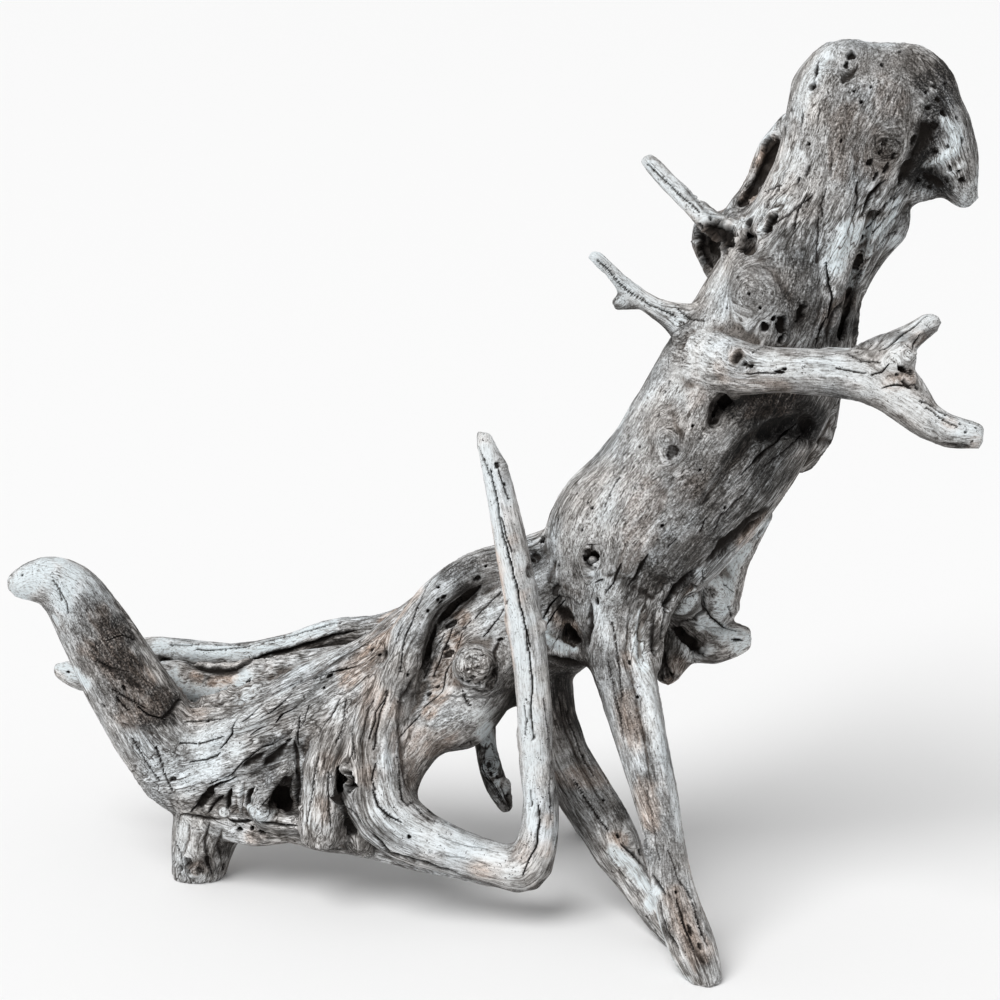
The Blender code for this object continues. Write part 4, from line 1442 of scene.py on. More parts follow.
@dataclass
class Trunk(LimbGroup):
    """The leaning trunk: its ridges, its hooked and charred crown, and the flange at its back."""

    nodes: tuple[str, ...] = ("trunk",)
    beside: tuple[str, ...] = ("root_flare", "front_leg", "cross_leg", "upper_twig", "lower_twig")
    ends: tuple[tuple[str, str, int, float], ...] = (("crown", "trunk", 2, 0.53),)
    grains: tuple[Grain, ...] = Grain.rows(
        (Layer.STEM,1, 600,670,50,45, 610,605,40,60, 626,553,36,78, 660,508,40,82, 698,460,46,84,
        734,402,54,84, 767,338,64,80, 796,269,76,70, 827,212,88,67, 850,158,100,68, 868,110,110,66,
        882,40,118,40), (Layer.BRANCH,1, 880,70,118,44, 916,100,122,42, 940,130,124,34, 952,160,124,27,
        962,188,122,19, 976,212,120,10), (Layer.BRANCH,1, 806,116,70,16, 776,140,58,13, 762,164,52,12,
        747,196,46,12, 737,218,48,13, 748,238,60,16), (Layer.BRANCH,1, 893,203,96,18, 889,230,70,18,
        869,260,54,17, 846,300,46,16, 836,345,42,16, 826,400,36,15, 812,444,30,16, 790,470,26,12),
        (Layer.BRANCH,1, 775,210,60,20, 738,228,42,20, 710,242,34,17, 710,265,34,9, 714,285,38,5),
        (Layer.BRANCH,1, 640,560,-4,30, 676,584,-24,32, 704,604,-42,30, 716,595,-54,22, 731,558,-54,18,
        749,528,-50,15, 772,504,-44,8), (Layer.BRANCH,1, 660,590,-24,26, 690,624,-42,26, 712,644,-40,17,
        740,639,-34,15, 756,638,-32,10), (Layer.BRANCH,1, 690,604,-46,26, 680,628,-44,26, 672,654,-42,20,
        664,688,-40,8),
    )
    holes: tuple[Hole, ...] = Hole.rows(
        (592,558,8.5,7,1.1,1,0.42), (556,590,3.6,4,1.9,0.8), (669,382,2), (665,392,1.8), (659,416,1.5),
        (592,508,1.9), (582,530,1.6), (588,503,1.3), (577,494,1.4), (725,508,1.6), (662,526,1.8),
        (558,566,2), (558,520,1.5), (693,426,1.6), (548,527,1.6), (618,480,1.6,4,2.2), (597,601,2,4,3.5),
        (727,399,9,11,1.2), (714,410,3.2,7,2.6), (711,427,2.4,5,1.9), (720,424,1.4,4,2), (765,327,4.2,7,1.2),
        (783,324,6,9,1.4), (782,340,4,8,1.8), (801,312,5,8,1.9), (774,318,2.6,6), (716,335,1.8),
        (710,340,1.5,4,1.6), (727,308,1.3), (749,294,1.5), (760,308,1.5), (729,279,1.2), (851,55,4.6,6,1.1),
        (813,87,4.2,6), (882,65,1.8), (900,52,1.4), (861,102,1.6), (871,87,1.3), (854,91,1.3), (808,144,2),
        (792,110,1.4), (841,141,1.3,3,1.8), (807,171,2.6,4,2.2,0.7), (798,180,1.8,4,1.8), (870,162,3,5,1.3),
        (884,142,3.4,4,1.2,0.7), (934,126,4,6,1.2,0.8), (934,86,2.4,4,1.3,0.8), (946,84,1.8,4,1.4,0.8),
        (938,99,2.6,4,1.2,0.9), (951,101,1.8,4,1.6,0.8), (928,108,2.2,4,1.3,0.8), (943,113,2.6,4,1.4,0.9),
        (926,92,1.6), (957,118,1.8,4,1.5,0.8), (962,140,2.2,4,1.6,0.8), (967,125,1.6),
        (950,168,2.2,4,1.5,0.9), (937,173,2.6,4,1.2,0.8), (959,171,1.6), (946,181,2,4,1.6,0.9),
        (930,187,2.4,4,1.4,0.9), (919,180,2,4,1.2,0.8), (935,151,2.6,4,1.3,0.8), (931,139,2.2,4,1.2,0.9),
        (948,147,1.8,3,1.3,0.7), (886,168,2.6,4,2.2,0.9), (876,176,2.2,4,2.4,0.9), (893,156,2,4,1.8,0.8),
        (880,152,1.8,3,1.6,0.8), (846,66,2.4,4,1.8,0.8), (853,76,2,4,1.6,0.8), (792,96,2.6,4,1.8,0.7),
        (787,120,2.6,4,2,0.7), (914,140,4,6,1.4,0.9), (902,177,4,6,1.2,0.9), (962,180,2.8,4,1.2),
        (900,183,2.6,5,1.4), (719,237,15,11,1.2,0.95), (704,252,6,9,2.2,0.85), (749,225,4.6,9,1.3,0.95),
        (751,234,4.8,9,1.2,0.95), (770,145,7,7,1.3,0.9), (752,192,6,7,1.4,0.95), (744,203,4.5,6,1.5,0.95),
        (697,236,4,4,1.2,0.7), (702,264,3.5,4,1.6,0.8), (773,219,5,9,1.2), (769,229,4.2,8,1.2),
        (768,193,2.4,5,1.5), (857,262,4.5,6,2.4,0.85), (861,238,2.4,4,1.8), (895,232,2,4,2.2),
        (668,672,4,6,1.5,0.7), (640,447,1.3), (700,470,1.3), (672,452,6,4,1.4,0.75),
    )
    knots: tuple[Knot, ...] = Knot.rows(
        (667,439,8,3.6,0,0.3), (675,463,3.6,1.4,0,0.2), (888,147,12,1.8,0,0.8), (688,602,13,4.5,0,0.15),
        (752,290,18,1.2,0,0.1), (762,232,4,4,0,0),
    )
    cracks: tuple[Crack, ...] = Crack.rows(
        (2.6,5, 819,62, 817,70, 814,84), (3.6,4, 802,110, 802,118, 801,126), (1.4,3, 800,124, 801,134,
        800,148), (4.4,5, 647,556, 640,571, 630,587), (4,4, 621,564, 618,574, 613,584), (1.6,3, 603,578,
        596,582), (1.4,3, 612,584, 606,592), (1.3,3, 676,540, 668,546), (1.1,2.5, 616,482, 610,494, 606,508),
        (1.5,3, 669,352, 668,366), (1.2,3, 706,520, 700,532), (1.2,3, 724,512, 714,530), (1.6,4, 800,436,
        782,452, 764,466), (3.4,6, 795,424, 778,438, 760,456, 742,474), (1.6,4, 840,470, 812,478, 790,500),
        (1.4,3, 762,470, 744,494, 722,516), (1.6,4, 858,182, 858,200, 853,216), (1.4,3, 826,190, 821,206,
        822,216), (1.3,3, 806,196, 798,212, 794,230), (1.3,3, 818,216, 818,240, 816,262), (3,6, 884,180,
        872,194, 862,214), (2.2,5, 902,188, 886,204, 866,228), (2,5, 906,196, 890,214, 872,232), (2.4,5,
        908,212, 894,232, 876,248, 866,262), (2.8,6, 826,262, 828,284, 832,300, 828,318), (2.2,5, 826,318,
        820,334, 816,348), (1.8,4, 863,300, 858,320, 852,346), (1.8,4, 703,604, 710,618, 724,628, 736,632),
        (2.4,4, 732,640, 742,641), (1.6,4, 702,570, 704,590, 706,606), (1.3,3, 724,584, 734,592), (1.3,3,
        728,606, 732,616), (1.2,3, 764,232, 790,214, 812,196), (1.8,4, 782,186, 764,192), (1.6,4, 762,188,
        752,204, 742,212), (1,2.5, 820,110, 816,124), (1,2.5, 832,152, 830,176),
    )
    folds: tuple[Fold, ...] = Fold.rows(
        (15,2.2,0, 845,92, 848,112, 848,138, 857,160, 858,182), (19,9,0.95, 780,135, 773,150, 766,165,
        757,180, 748,194, 742,207), (13,4,0.75, 858,63, 850,72, 841,84), (8,4,0.8, 698,222, 706,236, 704,250,
        713,270), (10,11,0.9, 691,232, 698,236, 706,240), (8,10,0.9, 692,250, 699,250, 708,252), (8,8,0.8,
        696,266, 704,262, 710,258), (5,-3,0, 694,224, 700,229, 708,232), (5,-3,0, 692,241, 700,244, 708,246),
        (5,4,0.7, 699,244, 705,256, 711,268), (3.5,-2.5,0, 706,226, 714,236, 722,250), (3,2,0.6, 712,228,
        722,238, 728,248), (4,-4,0, 697,246, 703,262, 709,276), (19,7,0.88, 921,120, 927,131, 920,146,
        911,160), (19,7,0.92, 914,158, 906,168, 904,182), (12,4,0.7, 922,172, 934,181, 946,188), (15,9,0.93,
        670,624, 682,634, 692,645, 704,660), (11,-3.5,0, 944,120, 956,132, 955,150, 941,160, 926,164),
        (9,-2.5,0, 922,174, 946,172, 966,164), (8,4,0.5, 883,180, 870,196, 862,218), (15,-3,0, 846,226,
        838,250, 836,262), (9,4,0.3, 900,214, 880,236, 866,258, 850,290), (9,5,0.75, 868,262, 852,296,
        840,330, 838,346), (8,4,0.7, 852,286, 832,316, 826,344), (7,-2.5,0, 876,252, 864,282, 856,314,
        852,344), (19,8,0.93, 768,506, 752,520, 738,533, 722,547, 706,562), (13,7,0.9, 768,514, 756,524,
        743,536, 728,549, 713,561), (8,-3,0, 774,512, 764,528, 752,542), (11,11,0.9, 700,566, 688,577,
        676,588, 668,602, 664,622), (6,7,0.8, 664,618, 662,640, 664,664, 676,682), (5,3.5,0.5, 690,582,
        702,592, 704,610, 692,620, 678,620), (9,7,0.8, 656,606, 650,624, 652,644, 656,660), (9,-3.5,0,
        640,608, 634,628, 634,648, 640,668), (13,-3,0, 690,616, 712,630, 736,636, 752,638), (20,-2,0,
        720,572, 716,596, 722,616), (9,-3,0, 670,640, 684,656, 700,666), (14,3,0.2, 600,574, 620,578,
        640,590, 656,600), (9,-2,0, 576,576, 592,572, 606,568), (26,5,0.35, 796,400, 806,420, 800,434),
        (9,-2.5,0, 806,412, 790,424, 774,436), (11,-3,0, 836,396, 832,416, 834,432), (12,4,0.4, 808,444,
        826,440, 836,446), (20,3,0.3, 768,404, 764,414, 752,420), (14,-2.5,0, 762,206, 778,200, 796,196),
        (14,-2,0, 766,164, 776,178, 790,172), (8,-2.5,0, 742,216, 740,232, 746,244), (20,3,0.3, 776,318,
        790,330, 804,322), (10,3,0.3, 556,560, 552,572, 548,586),
    )
    stains: tuple[Stain, ...] = (
        # Charring on the crown; the rows of strength 0.85, 0.62 and 0.42 are painted shade under the forked
        # branch and down the trunk's right side.
        *Tone.CHAR.patches(
            (0.95, 944,74,18, 952,92,18, 940,106,18, 932,122,16, 926,142,18, 934,130,12, 918,156,14,
            908,172,14, 940,184,16, 930,176,12, 922,84,12), (0.5, 916,70,26, 902,104,24, 900,130,18,
            968,118,16, 974,152,10), (0.35, 880,164,20, 850,126,16, 850,150,18, 862,176,14, 836,140,14),
            (0.3, 880,80,36, 850,112,36, 858,60,26, 770,290,36, 742,268,26), (0.85, 750,404,18, 772,406,22,
            796,408,24, 814,428,18, 764,428,20, 728,400,14), (0.62, 780,446,24, 752,458,26, 740,440,20,
            730,476,24, 812,446,16, 708,500,20, 738,500,22, 716,530,18, 690,556,18, 680,580,16, 764,480,20),
            (0.42, 700,470,22, 690,516,24, 668,560,22, 640,600,24, 670,540,20, 790,470,18, 706,440,16,
            644,580,18, 620,620,16, 656,630,14), (0.6, 784,326,16, 802,306,16, 806,284,20, 798,262,16,
            812,328,18, 790,300,16, 836,316,14, 846,290,12, 830,336,14, 852,326,10), (0.35, 776,276,22,
            760,300,22, 794,240,22, 820,240,18, 812,212,18), (0.55, 702,230,8, 704,252,8, 708,262,7), (0.16,
            700,400,44, 670,450,50, 640,490,50, 610,520,46, 590,550,40), (0.4, 964,132,9, 970,152,9,
            956,112,9, 966,176,6),
        ),
        # Painted shade in the crown's hollows, the twig hollow, its holes and the flange's cleft.
        *Tone.HOLLOW.patches(
            (0.75, 925,131,9, 914,149,8, 905,171,10, 938,184,5, 772,222,7), (0.85, 714,232,12, 720,242,12,
            706,254,8, 728,234,7), (0.85, 750,230,5, 749,223,4, 752,237,4, 772,220,4, 768,230,4), (1,
            765,509,5, 757,516,7, 749,524,7, 741,531,7, 733,539,6, 725,546,6, 717,553,5, 709,560,4),
        ),
        *Tone.BLEACH.patches(
            (0.95, 946,122,6, 956,134,7, 954,149,8, 942,159,7, 928,164,6), (1, 842,248,15, 846,232,12,
            878,232,15, 890,220,12, 836,264,12), (0.8, 870,248,10, 860,268,9, 850,284,8, 896,206,10), (0.6,
            888,206,9, 866,246,8, 896,240,10, 850,276,8), (0.5, 962,166,6, 972,190,8, 966,200,8, 952,172,6),
            (0.95, 716,578,15, 726,592,17, 720,608,14, 734,564,13, 744,548,10), (0.8, 756,534,8, 764,522,7,
            692,592,7, 682,610,7, 700,572,6), (0.9, 702,622,11, 716,630,12, 732,636,12, 748,640,11,
            738,648,9), (0.6, 686,648,8, 694,658,7, 710,648,8), (0.9, 636,630,8, 638,650,8, 644,668,9,
            640,612,6), (0.55, 790,160,18, 778,178,14, 800,110,14, 810,80,14, 826,56,12), (0.6, 744,160,12,
            752,148,10, 760,214,10, 738,228,8, 782,206,12), (0.8, 762,226,5, 762,234,5, 697,242,4, 703,268,5,
            701,260,4), (0.35, 700,342,22, 716,360,18, 676,390,20, 730,312,18, 612,490,14, 606,520,14,
            650,400,14, 574,540,18, 640,448,14, 720,286,18, 590,528,14),
        ),
        *Tone.WARM.patches(
            (1, 714,238,13, 764,164,14, 774,146,10, 748,196,12), (0.8, 784,404,22, 760,402,16, 830,318,14,
            846,300,12, 858,262,9), (1, 764,516,8, 752,530,9, 742,541,8), (0.4, 696,392,14, 652,492,16,
            640,520,20, 630,560,14, 690,486,18), (0.4, 876,160,20, 850,120,20, 836,160,18, 888,96,20), (0.8,
            748,540,12, 758,524,12, 676,668,12, 690,590,9),
        ),
        *Tone.PLAIN.patches(
            (1, 660,380,50, 640,430,50, 620,480,50, 670,470,50, 600,530,50, 650,520,46, 700,420,40,
            730,300,46, 720,340,40, 840,120,60, 830,80,60, 880,90,60, 830,160,50, 870,130,50, 570,560,40,
            780,290,40, 720,590,40, 735,560,30, 720,634,26),
        ),
    )


@dataclass
class RootBody(LimbGroup):
    """The spread of roots that the trunk stands on."""

    nodes: tuple[str, ...] = ("root_flare",)
    beside: tuple[str, ...] = (
        "trunk", "front_leg", "cross_leg", "elbow_branch", "neck_root", "foot_stub", "upper_back_root",
        "lower_back_root",
    )
    fills: tuple[Fill, ...] = Fill.rows(
        (34, 236,744, 250,736, 280,718, 312,700, 344,680, 370,662, 388,648),
    )
    ends: tuple[tuple[str, str, int, float], ...] = (("root_heart", "root_flare", 0, -0.09),)
    finish: WoodFinish = WoodFinish(strand=3.4, calm=0.25)
    grains: tuple[Grain, ...] = Grain.rows(
        (Layer.BRANCH,1, 610,574,10,56, 545,608,-4,62, 472,644,-16,60, 404,684,-20,56, 334,722,-26,52,
        268,748,-34,48, 214,760,-44,46, 170,772,-52,44), (Layer.BRANCH,1, 546,634,4,34, 500,660,6,30,
        474,690,6,34, 450,710,6,36, 420,738,10,29, 398,782,22,24, 402,824,32,20), (Layer.STEM,1,
        356,704,0,26, 334,756,14,25, 325,800,20,24, 322,850,20,20), (Layer.STEM,1, 350,784,4,12,
        358,830,8,13, 362,854,8,10), (Layer.STEM,1, 200,810,-42,20, 254,832,-30,14, 290,832,-22,13,
        330,840,-14,12, 370,848,-4,11, 420,862,6,10, 460,871,18,9, 510,883,30,8), (Layer.STEM,1,
        292,764,-4,9, 268,795,-6,9, 258,814,-10,9, 276,822,-8,9, 304,822,0,9),
    )
    holes: tuple[Hole, ...] = Hole.rows(
        (349,782,7,11,1.4), (339,798,4.5,9,2.4), (352,826,6,8,1.5,0.8), (477,579,3,5,1.4,0.9),
        (444,597,2.4,5,1.4), (441,602,1.6,4,1.4), (452,624,3.2,5,2.6,0.85), (456,634,1.6,4,3,0.85),
        (464,628,1.5,4,2.6,0.8), (446,648,2.2,5,2.2,0.9), (500,640,2,4,1.8,0.8), (257,792,3.6,8,1.3),
        (288,741,1.8,5,2), (252,683,2.4,5,1.3), (330,676,2,4,1.8), (324,688,1.4), (363,640,2,5,1.7),
        (372,650,1.4,4,1.6), (380,655,1.4,4,1.6), (352,648,1.3), (493,671,3.6,7,2), (464,678,2.8,6,1.3),
        (478,682,2.4,6,1.3), (448,654,4,6,1.8,0.85), (470,670,1.6,3,1.4,0.6), (478,668,1.4,3,1.6,0.6),
        (482,658,1.2,2,1.6,0.6), (474,676,1.8,3,1.3,0.7), (484,676,1.4,3,1.4,0.6), (438,600,1.8,4,1.4),
        (438,587,1.6), (444,566,1.3), (486,566,1.4), (428,611,1.8), (408,675,1.7), (422,656,1.6,4,1.5),
        (429,694,1.6,4,2), (437,686,1.4,4,2), (544,540,3.6,7,1.4), (534,560,2,5), (240,829,2.4,5,1.3),
        (262,832,3,5,1.2,0.85), (252,828,2.2,5), (173,779,3,4,1.3,0.5), (326,764,3.6,2,1.8,0.2),
    )
    knots: tuple[Knot, ...] = Knot.rows(
        (474,663,18,4,0,0.5), (488,682,7,3.5,0,0.2), (345,768,6,4,0,0.3), (262,812,7,3.5,0,0.1),
        (224,812,5,3,0,0.1), (384,600,9,1.6,0,0.2),
    )
    cracks: tuple[Crack, ...] = Crack.rows(
        (1.6,3, 400,672, 404,640, 416,610, 430,580), (1.2,3, 384,668, 394,648, 402,626), (1.8,4, 353,738,
        351,752, 347,766), (1.8,4, 300,716, 298,732, 300,746), (2,4, 262,704, 252,714, 242,722), (1.8,4,
        292,694, 280,704, 270,714, 262,718), (1.6,4, 236,720, 232,734, 220,748), (1.4,3, 262,728, 250,736),
        (1.6,4, 354,668, 330,672, 300,682, 272,694), (1.8,4, 296,706, 284,714, 276,722), (1.2,3, 340,700,
        330,718, 320,734), (1,3, 310,706, 304,722, 298,730), (2,5, 284,736, 262,746, 246,758, 232,774,
        210,784), (3.4,7, 236,776, 220,784, 206,794, 192,812), (1.6,4, 284,786, 270,796, 262,804), (1.4,3,
        190,762, 206,760, 220,752), (2,5, 300,812, 301,830, 300,842), (1.2,3, 318,756, 314,776, 310,800,
        306,826), (1.4,3, 328,772, 330,800, 332,826), (1,3, 346,700, 344,724, 336,744), (1,3, 374,700,
        364,720, 360,744), (1,3, 388,694, 376,712, 370,740), (1.6,4, 452,628, 444,650, 434,676), (1.4,4,
        462,634, 452,658, 440,690, 424,708), (1.4,3, 470,620, 458,636), (1.3,3, 444,634, 434,656, 424,680),
        (1.3,3, 500,590, 488,606, 474,618), (1.1,3, 508,600, 496,622, 484,636), (1.4,3, 462,690, 466,700,
        470,706), (2,5, 560,596, 550,606, 543,618), (1.6,4, 566,600, 554,612, 546,626), (1.2,3, 420,716,
        408,728, 398,742), (1.6,4, 460,746, 470,742, 474,750), (1.1,3, 180,742, 200,744, 222,736), (1.6,4,
        186,722, 206,720, 224,718), (1.2,3, 190,708, 208,706, 222,706),
    )
    folds: tuple[Fold, ...] = Fold.rows(
        (10,8,0.93, 484,584, 470,592, 456,604, 444,616, 436,626), (8,7,0.85, 436,622, 432,640, 426,656,
        418,672), (7,4,0.5, 480,590, 468,602, 456,614, 446,620), (8,4,0.3, 416,672, 408,690, 398,706),
        (26,3,0.12, 470,612, 456,640, 444,676, 432,708), (6,5,0.6, 296,738, 298,770, 299,800, 300,822),
        (11,6,0.6, 340,776, 340,800, 348,822, 356,838), (14,-2,0, 340,690, 328,720, 320,756), (14,-2.5,0,
        364,690, 372,730, 366,776, 374,806), (8,-2.5,0, 352,800, 364,818, 376,834), (8,-4,0, 244,780,
        240,796, 240,812), (24,9,0.94, 277,787, 283,798, 289,812), (18,8,0.9, 557,607, 567,616, 574,628,
        580,643), (13,7,0.97, 215,785, 206,797, 196,811), (6,6,0.92, 225,795, 215,804, 207,814), (7,7,0.95,
        232,786, 228,798, 228,811), (7,7,0.94, 256,786, 249,797, 250,809), (11,6,0.97, 264,753, 252,760,
        242,769), (12,6,0.97, 289,743, 280,752, 270,761, 262,767), (10,-4.5,0, 249,790, 247,804, 256,815,
        270,818, 277,810), (7,-3,0, 263,782, 258,792, 262,804), (13,-5,0, 542,614, 542,628, 550,640, 562,646,
        577,651), (12,6,0.88, 547,656, 562,661, 583,664), (8,-2.5,0, 552,598, 562,592, 574,596, 584,606),
        (6,-3,0, 294,770, 296,790, 302,812), (5,4.5,0.85, 228,820, 256,822, 280,825, 298,827), (9,-2,0,
        240,832, 262,836, 288,836), (10,-2,0, 298,838, 316,846, 336,850, 352,852), (9,4,0.3, 262,746,
        280,738, 294,728), (9,2.5,0.1, 262,706, 268,714, 278,712, 290,702), (7,6,0.75, 590,600, 591,624,
        588,650), (4,2,0.2, 458,646, 455,658, 458,668), (5.5,5,0.95, 488,658, 494,668, 497,679, 491,689,
        482,690), (5,5,0.95, 456,668, 460,678, 468,682, 474,678), (4.5,-3,0, 462,672, 470,672, 478,682,
        488,685, 492,678), (3.2,1.8,0.35, 462,656, 470,650, 480,652, 487,662), (3,1.6,0.35, 466,664, 472,658,
        480,662), (4,2.5,0.5, 468,686, 478,692, 490,692), (6,3,0.3, 500,640, 494,652, 496,664), (16,-2,0,
        408,600, 420,584, 440,570), (10,2.5,0.2, 184,704, 204,702, 226,704), (14,4,0.5, 538,552, 530,568,
        532,580),
    )
    stains: tuple[Stain, ...] = (
        *Tone.WARM.patches(
            (1, 454,640,12, 446,668,13, 438,696,12, 462,618,10, 430,712,9, 448,652,9, 560,614,10, 574,628,12,
            284,802,12), (0.6, 374,712,22, 368,664,12, 320,810,16, 440,744,20, 410,740,16), (0.45,
            360,652,14, 390,620,14, 252,838,12, 330,764,12, 198,714,14),
        ),
        # Painted shade in holes and clefts.
        *Tone.HOLLOW.patches(
            (0.9, 284,800,9, 290,814,7, 349,784,8, 340,800,6), (0.75, 470,592,6, 452,606,6, 432,644,5,
            422,664,5, 352,826,6), (0.6, 252,800,5, 228,800,4, 586,640,7, 554,656,5, 590,616,6), (0.9,
            550,658,4, 562,661,5, 574,664,5, 584,664,5, 572,632,5),
        ),
        *Tone.BLEACH.patches(
            (0.55, 246,700,14, 258,722,12, 220,730,18, 200,744,16, 210,764,16, 190,774,14, 236,748,12,
            262,812,7, 224,812,5, 308,790,12, 310,820,12, 242,792,6), (0.4, 300,668,16, 330,656,14,
            384,790,14), (1, 204,694,11, 218,696,11, 232,693,10, 244,687,9), (0.35, 464,660,10, 476,654,9,
            480,684,5), (0.35, 446,648,12, 450,668,12, 442,688,12, 440,640,10), (1, 544,620,5, 545,632,6,
            554,643,7, 566,649,7, 576,650,5), (0.8, 252,800,5, 252,810,6, 263,817,7, 274,812,5), (0.4,
            500,616,14, 486,640,10, 340,712,14, 390,812,12, 480,716,14),
        ),
        *Tone.PLAIN.patches(
            (0.9, 204,694,12, 220,696,12, 236,692,11), (0.9, 440,720,34, 480,720,26, 550,580,22, 400,625,24,
            420,596,22, 450,574,20, 478,562,18, 490,600,24, 480,625,18, 500,640,18, 210,760,20, 200,740,18,
            230,744,16),
        ),
        *Tone.CHAR.patches(
            (0.6, 470,566,14, 448,572,12, 488,554,12, 460,586,10, 534,560,14), (0.45, 350,848,12, 262,772,14,
            270,780,12, 268,744,12, 340,800,10, 350,820,12, 404,690,12, 562,600,14, 570,664,12, 588,630,12,
            416,640,8, 262,836,12, 216,800,10, 380,628,10, 552,590,12),
        ),
    )


@dataclass
class Legs(LimbGroup):
    """The three slanting legs."""

    nodes: tuple[str, ...] = ("front_leg", "cross_leg", "rear_leg")
    beside: tuple[str, ...] = ("trunk", "root_flare")
    grains: tuple[Grain, ...] = Grain.rows(
        (Layer.BRANCH,1.7, 600,560,36,46, 608,600,44,42, 617,648,58,34, 627,680,70,31, 633,704,77,29,
        641,740,86,26, 651,778,96,24, 659,808,104,22, 664,840,112,21, 671,875,119,21, 681,915,130,23,
        693,948,140,22, 709,992,149,15), (Layer.STEM,1.7, 540,655,-6,34, 549,710,-8,28, 561,750,-6,26,
        579,784,0,27, 599,816,8,27, 617,849,18,24, 634,876,32,19, 648,899,50,16, 662,923,66,14,
        677,942,84,12, 692,966,100,10), (Layer.STEM,1.7, 548,640,-30,34, 546,700,-66,25, 556,752,-112,22,
        578,795,-150,22, 598,825,-178,22, 608,854,-194,20),
    )
    holes: tuple[Hole, ...] = Hole.rows(
        (637,697,1.6), (630,662,1.6,4,1.8), (690,930,2.2,5,2.6,0.8), (676,892,1.6), (640,852,2.2,4,2.2,0.8),
        (618,836,1.8,4,1.6), (604,800,1.6), (700,946,2,4,1.8,0.8), (584,756,1.4,4,1.8),
    )
    knots: tuple[Knot, ...] = Knot.rows(
        (650,846,9,2.2,0,0.1), (628,838,6,1.8,0,0.1),
    )
    cracks: tuple[Crack, ...] = Crack.rows(
        (1.1,1, 634,640, 630,668, 636,700, 642,730), (1,1, 640,700, 646,740, 656,780), (1,2.5, 612,620,
        618,656, 622,700), (1,2.5, 608,660, 616,700, 624,740), (1,1.2, 646,790, 654,830, 660,860), (1.1,3,
        668,850, 680,880, 692,900), (1.8,4, 676,900, 684,924, 694,950), (1.6,4, 692,904, 700,926, 708,946),
        (1.1,3, 566,712, 578,746, 594,776), (1.2,3, 580,730, 596,760, 612,790, 628,816), (1,3, 574,780,
        590,806, 608,830), (1,1, 600,846, 622,872, 640,892), (1.4,3, 646,916, 658,938, 672,956),
    )
    folds: tuple[Fold, ...] = Fold.rows(
        (13,-2.6,0, 634,620, 636,650, 646,690, 656,740, 666,790, 672,830), (7,2.5,0.08, 630,610, 626,650,
        636,700, 646,750, 654,800), (6,2.5,0.2, 662,660, 662,700, 670,740), (9,6,0.8, 652,618, 650,636,
        656,656), (5,6,0.9, 620,842, 640,862, 656,880, 666,896), (12,-3,0, 604,842, 626,864, 646,884,
        660,898), (6,5,0.8, 660,900, 662,918, 670,938, 680,950), (12,2.5,0.1, 668,846, 672,866, 684,890),
        (10,-2.5,0, 646,836, 648,852, 654,866), (10,2.5,0.1, 664,890, 676,904, 690,914), (6,-2,0, 690,900,
        702,924, 710,948), (8,3,0.4, 684,936, 696,954, 706,966), (9,3,0.25, 558,690, 566,730, 584,770,
        604,806), (6,4,0.6, 640,828, 646,840, 650,850),
    )
    finish: WoodFinish = WoodFinish(calm=0.7)
    stains: tuple[Stain, ...] = (
        *Tone.BLEACH.patches(
            (0.48, 636,620,8, 636,640,9, 642,664,10, 648,686,11, 652,708,11, 658,730,11, 662,752,9,
            668,774,8, 674,796,8, 678,818,8, 680,836,7), (0.95, 612,852,9, 628,866,9, 642,880,9, 656,892,7,
            650,906,7), (0.4, 604,612,14, 612,640,12, 596,580,14, 616,600,12),
        ),
        *Tone.WARM.patches(
            (0.75, 624,700,12, 632,740,12, 644,790,14, 650,820,12, 626,660,9, 700,952,16, 686,926,12,
            676,896,12, 604,776,14, 566,780,12, 620,840,10),
        ),
        *Tone.CHAR.patches(
            (0.6, 556,690,16, 566,720,14, 584,730,12, 604,770,12, 624,812,12, 572,700,12, 560,676,12,
            640,836,8, 666,930,9, 706,962,9, 590,750,12), (0.35, 656,860,12, 640,840,12, 690,940,14,
            596,800,14, 654,636,10), (0.3, 610,650,13, 620,690,13, 630,730,13, 640,780,13, 648,830,13),
            (0.25, 664,810,15, 670,850,16, 680,890,16, 690,920,16),
        ),
        # Painted shade in a furrow.
        *Tone.HOLLOW.patches(
            (0.6, 654,640,6, 652,624,5),
        ),
        *Tone.PLAIN.patches(
            (0.7, 604,620,30, 612,660,30, 622,700,30, 636,760,30, 656,700,26, 664,760,26, 670,820,30,
            650,830,30, 676,880,26, 690,930,26, 580,760,30, 620,830,26),
        ),
    )


